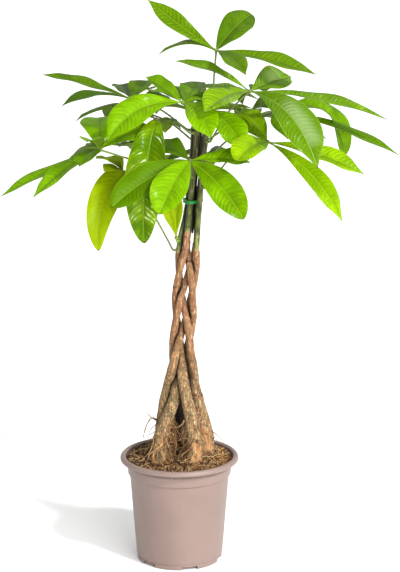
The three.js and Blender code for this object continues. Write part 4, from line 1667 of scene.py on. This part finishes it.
@dataclass(frozen=True)
class Pot:
    """The nursery pot: a thin tapered wall with a rolled rim, a collar, a stepped foot and drains."""

    height: float = 0.155
    rim: float = 0.085
    rim_depth: float = 0.008
    mouth: float = 0.0773
    collar: float = 0.0755
    collar_low: float = 0.074
    collar_level: float = 0.128
    wall_top: float = 0.0714
    neck: float = 0.146
    foot: float = 0.061
    foot_height: float = 0.0065
    floor: float = 0.003
    wall: float = 0.0021
    middle: float = 0.0004
    drains: int = 6
    drain: Triple = (0.018, 0.024, 0.010)
    drain_turn: float = -76.0
    sides: int = 180
    corner: float = 0.0009
    crease: float = 38.0

    def inside(self) -> list[Span]:
        """Lists radii and heights of the inside of the wall, from the floor up to its neck."""
        return [
            (self.foot - self.wall, self.floor),
            (self.wall_top - self.wall, self.collar_level - 0.004),
            (self.collar_low - self.wall, self.collar_level + 0.003),
            (self.collar - self.wall, self.neck),
        ]

    def section(self) -> np.ndarray:
        """Lists the points of the wall's section, with its corners rounded.

        Returns:
            Radii and heights, from the axis below to the axis inside.
        """
        low = self.height - self.rim_depth
        corners = [
            (self.middle, 0.0), (self.foot - 0.001, 0.0), (self.foot, 0.001),
            (self.foot + 0.0003, self.foot_height), (self.foot - 0.0004, self.foot_height + 0.0005),
            (self.foot + 0.0010, self.foot_height + 0.0011),
            (self.wall_top, self.collar_level - 0.0010), (self.collar_low, self.collar_level + 0.0006),
            (self.collar, low), (self.rim - 0.0018, low), (self.rim, low + 0.0018),
            (self.rim, self.height - 0.0030), (self.rim - 0.0026, self.height),
            (self.mouth + 0.0018, self.height), (self.mouth, self.height - 0.0016),
            *reversed(self.inside()), (self.middle, self.floor),
        ]
        return rounded(corners, self.corner)

    def build(self) -> None:
        """Turns the wall, cuts the drains and makes the piece."""
        out = circle(self.sides)
        rings = [radius * out + level * UP for radius, level in self.section()]
        growth = Growth()
        growth.add(np.vstack(rings), ring_faces(len(rings), self.sides))
        piece = growth.grow("pot_moulded", [PotPlastic().material()], ["pot"], self.crease)
        cutter = self.cutter()
        cut = piece.modifiers.new("drains", "BOOLEAN")
        cut.operation = "DIFFERENCE"
        cut.solver = "EXACT"
        cut.object = cutter
        bpy.context.view_layer.update()
        shaped = piece.evaluated_get(bpy.context.evaluated_depsgraph_get())
        mesh = bpy.data.meshes.new_from_object(shaped)
        piece.modifiers.clear()
        piece.data = mesh
        bpy.data.objects.remove(cutter)
        mesh.set_sharp_from_angle(angle=math.radians(self.crease))

    def cutter(self) -> bpy.types.Object:
        """Makes the blocks that cut the drains.

        Returns:
            The blocks as one object, which is removed once it has cut.
        """
        corners = np.array([(x, y, z) for x in (-0.5, 0.5) for y in (-0.5, 0.5) for z in (-0.5, 0.5)])
        block = corners * self.drain + (self.foot, 0.0, 0.0)
        sides = [[0, 1, 3, 2], [4, 6, 7, 5], [0, 4, 5, 1], [2, 3, 7, 6], [0, 2, 6, 4], [1, 5, 7, 3]]
        points = []
        faces = []
        for index in range(self.drains):
            turn = math.radians(self.drain_turn + 360 * index / self.drains)
            cos, sin = math.cos(turn), math.sin(turn)
            faces.extend([corner + len(corners) * index for corner in side] for side in sides)
            points.append(block @ np.array(((cos, sin, 0), (-sin, cos, 0), (0, 0, 1))))
        mesh = bpy.data.meshes.new("drain_cutter")
        mesh.from_pydata(np.vstack(points), [], faces)
        cutter = bpy.data.objects.new("drain_cutter", mesh)
        bpy.context.collection.objects.link(cutter)
        return cutter


# Fullness of the blunt blades, and the skew of those that are widest at their middle or near their hub.
BLUNT = 0.6
EVEN_SHOULDERS = 0.95
HIGH_SHOULDERS = 0.6


@dataclass(frozen=True)
class Leaflet:
    """One blade.

    Its tip is given from the hub. Then come its width, how far its back arches, by how many degrees
    it leans to the front, how full it is and how far past its middle it is widest.
    """

    tip: Triple
    width: float
    arch: float
    lean: float
    fullness: float = 0.85
    skew: float = 1.45


@dataclass(frozen=True)
class StalkForm:
    """What all stalks and hubs share."""

    radius: float = 0.0013
    # How much a stalk thickens at its foot and at its hub, and over what length.
    foot_swelling: float = 0.0011
    hub_swelling: float = 0.0009
    swelling: float = 0.005
    # Clear distance between shoot and stalk's axis, how far a stalk's end is sunk, and where it turns.
    gap: float = 0.00045
    sunk: float = 0.0012
    turned: float = 0.12
    relief: Layers = ((0.05, 0.012, 7),)
    steps: int = 44
    sides: int = 12
    hub: float = 0.0034
    hub_length: float = 0.8
    hub_width: float = 0.86
    hub_rings: int = 9
    hub_sides: int = 14
    hub_end: float = 0.08


@dataclass(frozen=True)
class BladeForm:
    """What all blades share."""

    row: float = 0.0021
    rows: Span = (26, 84)
    columns: int = 19
    # How much closer the rows lie at the two ends, and the columns at the rib.
    end_rows: float = 0.3
    rib_columns: float = 1.18
    thick: float = 0.0005
    thinning: float = 0.35
    fold: float = math.radians(16)
    crease: float = 0.0012
    base: float = 0.0026
    tip: float = 0.0009
    # Where the tip is drawn out, and by how much.
    drawn_out: Span = (0.82, 0.975)
    drawing: float = 0.3
    uneven_halves: float = 0.05
    belly: float = 0.075
    # The waved edges: how high, how steep toward the edge and how many waves on each half.
    wave: float = 0.085
    wave_steepness: float = 2.2
    wave_count: Span = (1.6, 2.8)
    # The side veins: how far apart, and how they sweep forward at the rib and at the edge.
    vein_spacing: float = 0.0066
    sweep: Span = (0.42, 0.35)
    # Where the soft folds between the veins fade: at the base, at the tip, at the rib and at the edge.
    base_fade: Span = (0.03, 0.16)
    tip_fade: Span = (0.86, 0.97)
    rib_fade: Span = (0.0, 0.22)
    edge_fade: Span = (0.8, 1.0)
    # The rib below: its height at the base, how much of that it loses, and how wide it is.
    rib: float = 0.0013
    rib_loss: float = 0.0011
    rib_width: float = 0.0009
    tone_spread: float = 0.5


STALK = StalkForm()
BLADE = BladeForm()


@dataclass(frozen=True)
class Leaf:
    """A leaf: its stalk, its hub and the blades that spread from it.

    The stalk starts on a shoot at a height and in a direction in degrees, runs straight out as far
    as its seat, and then bows up on its way to the hub.
    """

    name: str
    shoot: int
    at: float
    angle: float
    bow: float
    hub: Triple
    age: LeafAge
    leaflets: tuple[Leaflet, ...]
    slot: str = "leaf_green"
    seat: float = 0.0045
    crease: float = 60.0

    def build(self, braid: Braid, stalk_skin: bpy.types.Material, blade_skin: bpy.types.Material) -> None:
        """Builds the leaf as one piece.

        Args:
            braid: The trunk whose shoot carries it.
            stalk_skin: Material of the stalk and hub.
            blade_skin: Material of the blades.
        """
        rng = np.random.default_rng([ord(letter) for letter in self.name])
        growth = Growth("blade", "tone")
        self.stalk(growth, braid)
        for leaflet in self.leaflets:
            self.blade(growth, leaflet, rng)
        growth.grow(f"{self.name}_fine", [stalk_skin, blade_skin], [self.name], self.crease)

    def stalk(self, growth: Growth, braid: Braid) -> None:
        """Adds the stalk, which thickens at both ends, and the hub.

        Args:
            growth: The piece that they are added to.
            braid: The trunk whose shoot carries them.
        """
        out = toward(math.radians(self.angle))
        foot = braid.centre(self.shoot, self.at)[0] + out * (lookup(SHOOT_RADIUS, self.at) + STALK.gap)
        hub = np.array(self.hub)
        middle = (foot + hub) / 2 + (0, 0, self.bow)
        bend = foot + out * self.seat
        path = catmull_rom([foot, bend, bend + (middle - bend) * 2 * STALK.turned, middle, hub], STALK.steps)
        path = np.vstack([foot - out * STALK.sunk, path])
        length = run_length(path)
        radii = STALK.radius + STALK.foot_swelling * np.exp(-length / STALK.swelling)
        radii = radii + STALK.hub_swelling * np.exp((length - length[-1]) / STALK.swelling)
        growth.tube(path, radii * (1 + rough(path, STALK.relief)), STALK.sides)
        dome = np.linspace(STALK.hub_end, math.pi - STALK.hub_end, STALK.hub_rings)
        axis = unit(path[-1] - path[-3])
        knob = hub - np.outer(np.cos(dome), axis) * STALK.hub * STALK.hub_length
        growth.tube(knob, STALK.hub * STALK.hub_width * np.sin(dome), STALK.hub_sides)

    def half_width(self, share: np.ndarray, leaflet: Leaflet) -> np.ndarray:
        """Gives half the width of a blade along it, from its narrow base to its drawn-out tip.

        Args:
            share: Places along the blade, from 0 to 1.
            leaflet: The blade's form.

        Returns:
            Half the widths.
        """
        swell = np.sin(math.pi * share**leaflet.skew).clip(0) ** leaflet.fullness
        if leaflet.fullness > BLUNT:
            swell = swell * (1 - BLADE.drawing * smoothstep(share, *BLADE.drawn_out))
        narrow = BLADE.base + (BLADE.tip - BLADE.base) * share
        return np.maximum(narrow, leaflet.width * swell) / 2

    def blade(self, growth: Growth, leaflet: Leaflet, rng: np.random.Generator) -> None:
        """Adds one thin closed blade with a raised rib below, folds between its side veins and waved edges.

        Args:
            growth: The piece that it is added to.
            leaflet: Its form.
            rng: Source of the seeded draws.
        """
        reach = np.array(leaflet.tip)
        length = float(np.linalg.norm(reach))
        rise = unit(UP - reach / length * (reach / length)[2])
        rows = int(np.clip(length / BLADE.row, *BLADE.rows))
        even = np.linspace(0, 1, rows + 1)
        eased = 0.5 - 0.5 * np.cos(math.pi * even)
        share = ((1 - BLADE.end_rows) * even + BLADE.end_rows * eased)[:, None]
        bend = reach / 2 + 2 * leaflet.arch * rise
        middle = np.array(self.hub) + 2 * share * (1 - share) * bend + share**2 * reach
        run = unit((1 - share) * bend + share * (reach - bend))
        lean = math.radians(leaflet.lean)
        facing = np.array((0.0, -math.sin(lean), math.cos(lean)))
        up = unit(facing - run * (run @ facing)[:, None])
        side = np.cross(run, up)

        spread = np.linspace(-1, 1, BLADE.columns)
        spread = np.sign(spread) * np.abs(spread) ** BLADE.rib_columns
        half = self.half_width(share, leaflet)
        halves = 1 + rng.uniform(-BLADE.uneven_halves, BLADE.uneven_halves) * np.sign(spread)
        across = half * spread * halves
        off = np.abs(across)
        edge = np.abs(spread)[None, :]

        fold = (np.sqrt(off**2 + BLADE.crease**2) - BLADE.crease) * math.sin(BLADE.fold)
        belly = BLADE.belly * half * np.sin(math.pi * edge)
        ripples = rng.uniform(*BLADE.wave_count, 2)
        starts = rng.uniform(0, 2 * math.pi, 2)
        rate = np.where(spread > 0, ripples[0], ripples[1])
        start = np.where(spread > 0, starts[0], starts[1])
        swing = np.sin(2 * math.pi * rate * share + start)
        wave = BLADE.wave * half * edge**BLADE.wave_steepness * swing
        forward = off * (BLADE.sweep[0] + BLADE.sweep[1] * edge**2)
        vein = (length * share - forward) / BLADE.vein_spacing + 0.5 * (spread > 0)
        ends = smoothstep(share, *BLADE.base_fade) * (1 - smoothstep(share, *BLADE.tip_fade))
        body = smoothstep(edge, *BLADE.rib_fade) * (1 - smoothstep(edge, *BLADE.edge_fade)) * ends
        upper = middle[:, None] + side[:, None] * (across * math.cos(BLADE.fold))[..., None]
        uneven = 0.55 + 0.45 * np.clip(waves(upper, 0.024, 90), -1, 1)
        quilt = self.age.value.quilt * (0.5 - 0.5 * np.cos(2 * math.pi * vein)) * body * uneven
        upper = upper + up[:, None] * (fold + belly + wave + quilt)[..., None]
        rib = (BLADE.rib - BLADE.rib_loss * share**0.6) * bell(off, BLADE.rib_width)
        thick = BLADE.thick * (1 - BLADE.thinning * edge) + rib
        lower = upper - up[:, None] * thick[..., None]
        rings = np.concatenate([upper, lower[:, ::-1]], axis=1)

        tone = rng.normal(0, BLADE.tone_spread)
        blade = np.stack(np.broadcast_arrays(across, edge, vein), axis=-1)
        blade = np.concatenate([blade, blade[:, ::-1]], axis=1)
        sides = 2 * BLADE.columns
        below = np.repeat((0.0, 1.0), BLADE.columns)[None, :]
        carried = np.stack(np.broadcast_arrays(np.full((len(share), sides), tone), share, below), axis=-1)
        faces = ring_faces(len(share), sides)[:-2]
        last = rows * sides
        for index in range(BLADE.columns - 1):
            other = sides - 1 - index
            faces.append([other, other - 1, index + 1, index])
            faces.append([last + index, last + index + 1, last + other - 1, last + other])
        growth.add(rings.reshape(-1, 3), faces, [blade.reshape(-1, 3), carried.reshape(-1, 3)], 1)


def metres(*millimetres: float) -> tuple[float, ...]:
    """Turns millimetres into metres."""
    return tuple(value / MILLIMETRES for value in millimetres)


def leaf(
    name: str,
    shoot: int,
    stalk: Triple,
    hub: Triple,
    age: LeafAge,
    *blades: tuple[float, ...],
    **others: Any,
) -> Leaf:
    """Makes a leaf out of millimetres and degrees.

    Args:
        name: Name of the solid that it stands for.
        shoot: Which shoot carries it.
        stalk: The height of the stalk's foot, its direction in degrees and how far it bows up.
        hub: Where the blades spread.
        age: How old it is.
        *blades: For each blade its tip from the hub, its width, its arch, its lean in degrees, and
            where they differ from the usual ones its fullness and skew.
        **others: Other values of the leaf.

    Returns:
        The leaf.
    """
    at, angle, bow = stalk
    leaflets = [Leaflet(metres(*blade[:3]), *metres(*blade[3:5]), *blade[5:]) for blade in blades]
    return Leaf(name, shoot, *metres(at), angle, *metres(bow), metres(*hub), age, tuple(leaflets), **others)


LEAVES = (
    leaf(
        "leaf_top", 2, (640, 20, 0), (52, 10, 736), LeafAge.MATURE,
        (-94, 20, 67, 28, -2, 55), (-80, 15, -8, 30, 12, 0), (50, 75, 41, 42, 5, 60, BLUNT),
        (137, -10, -32, 32, 5, 25), (39, -80, -22, 32, 6, 20),
    ),
    leaf(
        "leaf_right_high", 4, (612, 335, 6), (98, -15, 683), LeafAge.PAINTED_SILVER_SHEEN,
        (-103, 20, 39, 28, 8, 15), (59, 70, 10, 44, 3, 50), (190, 10, -41, 32, 9, 15),
        (-63, -85, -15, 44, 8, 30), (89, -100, -88, 54, 24, 38), (-87, 85, -13, 28, 6, 5),
        (25, 115, -19, 30, 6, 0),
    ),
    leaf(
        "leaf_right_back", 2, (590, 10, 6), (137, 25, 650), LeafAge.FRESH,
        (172, -5, -63, 30, 6, 12), (98, 30, -69, 46, 36, 20, BLUNT), (-36, 70, -14, 40, 8, 45),
        (13, -60, -30, 38, 8, 30), (51, -20, -68, 44, 14, 35),
    ),
    leaf(
        "leaf_left_high", 0, (632, 240, 6), (6, -45, 672), LeafAge.FRESH,
        (-102, -50, -45, 46, 20, 50), (-50, 10, 34, 34, 2, 20), (38, -60, -38, 44, 10, 40),
        (23, 85, 16, 36, 2, 10), (36, 30, -6, 30, 4, 10), (-47, 80, 3, 34, 6, 10),
    ),
    leaf(
        "leaf_right_low", 4, (548, 320, 16), (123, -30, 615), LeafAge.BRIGHT,
        (132, -10, -43, 34, 7, 30), (100, -55, -99, 31, 14, 50), (-45, -90, -10, 44, 8, 45, BLUNT),
        (-33, 70, 37, 34, 2, 0), (-74, 48, 33, 34, 4, 10), (-53, 35, 14, 30, 5, 10),
    ),
    leaf(
        "leaf_middle", 4, (632, 265, 2), (42, -12, 658), LeafAge.FRESH,
        (46, -50, -48, 42, 8, 45), (-26, 30, 13, 30, 5, 10), (60, 34, -4, 28, 2, 0),
        (-18, -55, -3, 32, 6, 0),
    ),
    leaf(
        "leaf_left_back", 3, (626, 155, 6), (-67, 30, 666), LeafAge.MATURE,
        (-123, 10, 32, 32, 3, 12), (-93, -60, -1, 32, 10, 5), (-20, 90, 6, 34, 2, 0),
        (24, 60, 16, 36, 2, 10), (27, 95, -1, 34, 4, 0), (60, -10, -5, 30, 5, 5),
    ),
    leaf(
        "leaf_left_low", 3, (560, 190, 0), (-108, -50, 608), LeafAge.FRESH,
        (-135, -20, -61, 30, 2, 12), (-86, -70, -52, 30, 6, 12), (-22, -100, -4, 34, 6, 10),
        (-5, 80, 31, 52, 8, 50), (71, 50, 23, 42, 6, 40), (-11, -105, 30, 34, 6, 10),
    ),
    leaf(
        "leaf_front", 0, (562, 250, 6), (16, -75, 598), LeafAge.FRESH,
        (-41, -65, -61, 50, 6, 60, BLUNT), (-105, -40, -57, 44, 8, 55, BLUNT),
        (72, -55, -70, 46, 8, 60, BLUNT), (-57, 100, 0, 44, 6, 35), (82, 10, -5, 34, 4, 25),
    ),
    leaf(
        "leaf_left_hanging", 0, (624, 190, 6), (-31, -15, 644), LeafAge.OLD,
        (-16, -45, -165, 56, 20, 75, BLUNT, EVEN_SHOULDERS), (35, 2, -14, 26, 4, 5),
        (-53, 32, -1, 38, 8, 30), (12, 42, -26, 30, 5, 0),
        slot="leaf_dark",
    ),
    leaf(
        "leaf_left_yellow", 3, (456, 190, 4), (-77, 15, 564), LeafAge.YELLOWING,
        (-35, -30, -106, 46, 18, 80, BLUNT, HIGH_SHOULDERS), (-36, -60, 31, 26, 6, 10),
        (-24, 50, 13, 24, 4, 10), (-26, -45, 10, 26, 5, 30), (38, 60, -6, 30, 6, 20),
        slot="leaf_yellow", seat=0.003,
    ),
    leaf(
        "leaf_back_left", 1, (606, 125, 6), (-50, 105, 635), LeafAge.MATURE,
        (-100, 25, -18, 38, 12, 0), (-60, 85, -25, 42, 12, 0), (15, 100, -20, 42, 12, 0),
        (68, 45, -8, 36, 8, 0),
    ),
    leaf(
        "leaf_back_middle", 1, (628, 85, 6), (28, 120, 655), LeafAge.MATURE,
        (-80, 50, -10, 38, 10, 0), (-15, 105, -32, 44, 14, 0), (65, 80, -25, 42, 12, 0),
        (85, -5, -4, 36, 8, 0),
    ),
    leaf(
        "leaf_back_right", 2, (612, 50, 6), (108, 100, 628), LeafAge.MATURE,
        (105, 30, -38, 38, 12, 0), (70, 90, -42, 44, 14, 0), (-12, 100, -28, 42, 12, 0),
        (-70, 30, 2, 34, 8, 0), (60, -50, -12, 34, 8, 0),
    ),
    leaf(
        "leaf_back_low", 1, (560, 80, 6), (40, 90, 575), LeafAge.MATURE,
        (-75, 50, -35, 42, 12, 0), (-5, 95, -48, 46, 14, 0), (48, 80, -22, 38, 10, 0),
        (60, -10, -6, 34, 8, 0), (-60, -20, -8, 34, 6, 0),
    ),
    leaf(
        "leaf_left_back_low", 3, (586, 140, 6), (-85, 85, 590), LeafAge.MATURE,
        (-78, 18, -30, 36, 10, 0), (-45, 85, -35, 42, 12, 0), (30, 85, -38, 40, 12, 0),
        (62, 5, -10, 34, 8, 0),
    ),
    leaf(
        "leaf_young", 3, (470, 245, 0), (-3.5, -12, 476), LeafAge.YOUNG,
        (-20, -4, 58, 17, 2, 80), (2, 4, 66, 18, 2, 80), (-9, 12, 52, 14, 2, 60),
        slot="leaf_yellow",
    ),
)


@dataclass(frozen=True)
class Studio:
    """A plain pale floor, soft light from the front right and the camera."""

    floor: float = 40.0
    floor_drop: float = 0.0002
    camera: Triple = (0.0296, -3.0, 1.15)
    tilt: float = 76.03
    lens: float = 137.95
    sensor: float = 36.0
    sky: float = 0.93
    key_azimuth: float = 43.0
    key_elevation: float = 41.0
    key_spread: float = 7.0
    key_strength: float = 3.35
    front: Triple = (1.6, -3.5, 0.9)
    front_size: float = 2.4
    front_power: float = 230.0
    front_tilt: float = 88.0

    def put(self, name: str, data: Any, place: Triple, tilt: float, turn: float) -> bpy.types.Object:
        """Puts a light or the camera in the studio.

        Args:
            name: Its name.
            data: Its light or camera data.
            place: Where it stands.
            tilt: How many degrees it is tilted up from looking straight down.
            turn: How many degrees it is turned about the upright.

        Returns:
            The object.
        """
        made = bpy.data.objects.new(name, data)
        made.location = place
        made.rotation_euler = (math.radians(tilt), 0.0, math.radians(turn))
        bpy.context.scene.collection.objects.link(made)
        return made

    def build(self) -> None:
        """Sets up the floor, the light and the camera."""
        scene = bpy.context.scene
        scene.view_settings.view_transform = "Standard"
        half = self.floor / 2
        low = -self.floor_drop
        mesh = bpy.data.meshes.new("studio_floor")
        mesh.from_pydata([(-half, -half, low), (half, -half, low), (half, half, low), (-half, half, low)], [],
                         [(0, 1, 2, 3)])
        mesh.materials.append(StudioWhite().material())
        floor = bpy.data.objects.new("studio_floor", mesh)
        scene.collection.objects.link(floor)

        world = bpy.data.worlds.new("studio")
        world.use_nodes = True
        background = world.node_tree.nodes["Background"]
        background.inputs["Color"].default_value = (1.0, 1.0, 1.0, 1.0)
        background.inputs["Strength"].default_value = self.sky
        scene.world = world

        sun = bpy.data.lights.new("key", "SUN")
        sun.energy = self.key_strength
        sun.angle = math.radians(self.key_spread)
        self.put("key", sun, (0.0, 0.0, 0.0), 90 - self.key_elevation, self.key_azimuth)

        panel = bpy.data.lights.new("front", "AREA")
        panel.size = self.front_size
        panel.energy = self.front_power
        turn = math.degrees(math.atan2(self.front[0], -self.front[1]))
        self.put("front", panel, self.front, self.front_tilt, turn).visible_camera = False

        lens = bpy.data.cameras.new("camera")
        lens.sensor_width = self.sensor
        lens.lens = self.lens
        scene.camera = self.put("camera", lens, self.camera, self.tilt, 0.0)


def main() -> None:
    """Builds the studio and dresses the plant, piece by piece."""
    logging.basicConfig(level=logging.INFO, format="%(message)s")
    Studio().build()
    Pot().build()
    soil = Soil()
    soil.build()
    braid = Braid()
    bark = Bark().material()
    green_skin = GreenSkin().material()
    stems = BarkedStems()
    shoots = Shoots()
    shoots.painted_shade_tube(braid, bark)
    for index in range(len(STEMS)):
        stems.build(braid, index, bark)
        shoots.build(braid, index, green_skin)
    Rootlets().build(braid, soil)
    Tie().build(braid)
    stalk_skin = StalkSkin().material()
    blade_skins = {age: age.value.material() for age in LeafAge}
    for grown in LEAVES:
        grown.build(braid, stalk_skin, blade_skins[grown.age])


if __name__ == "__main__":
    main()
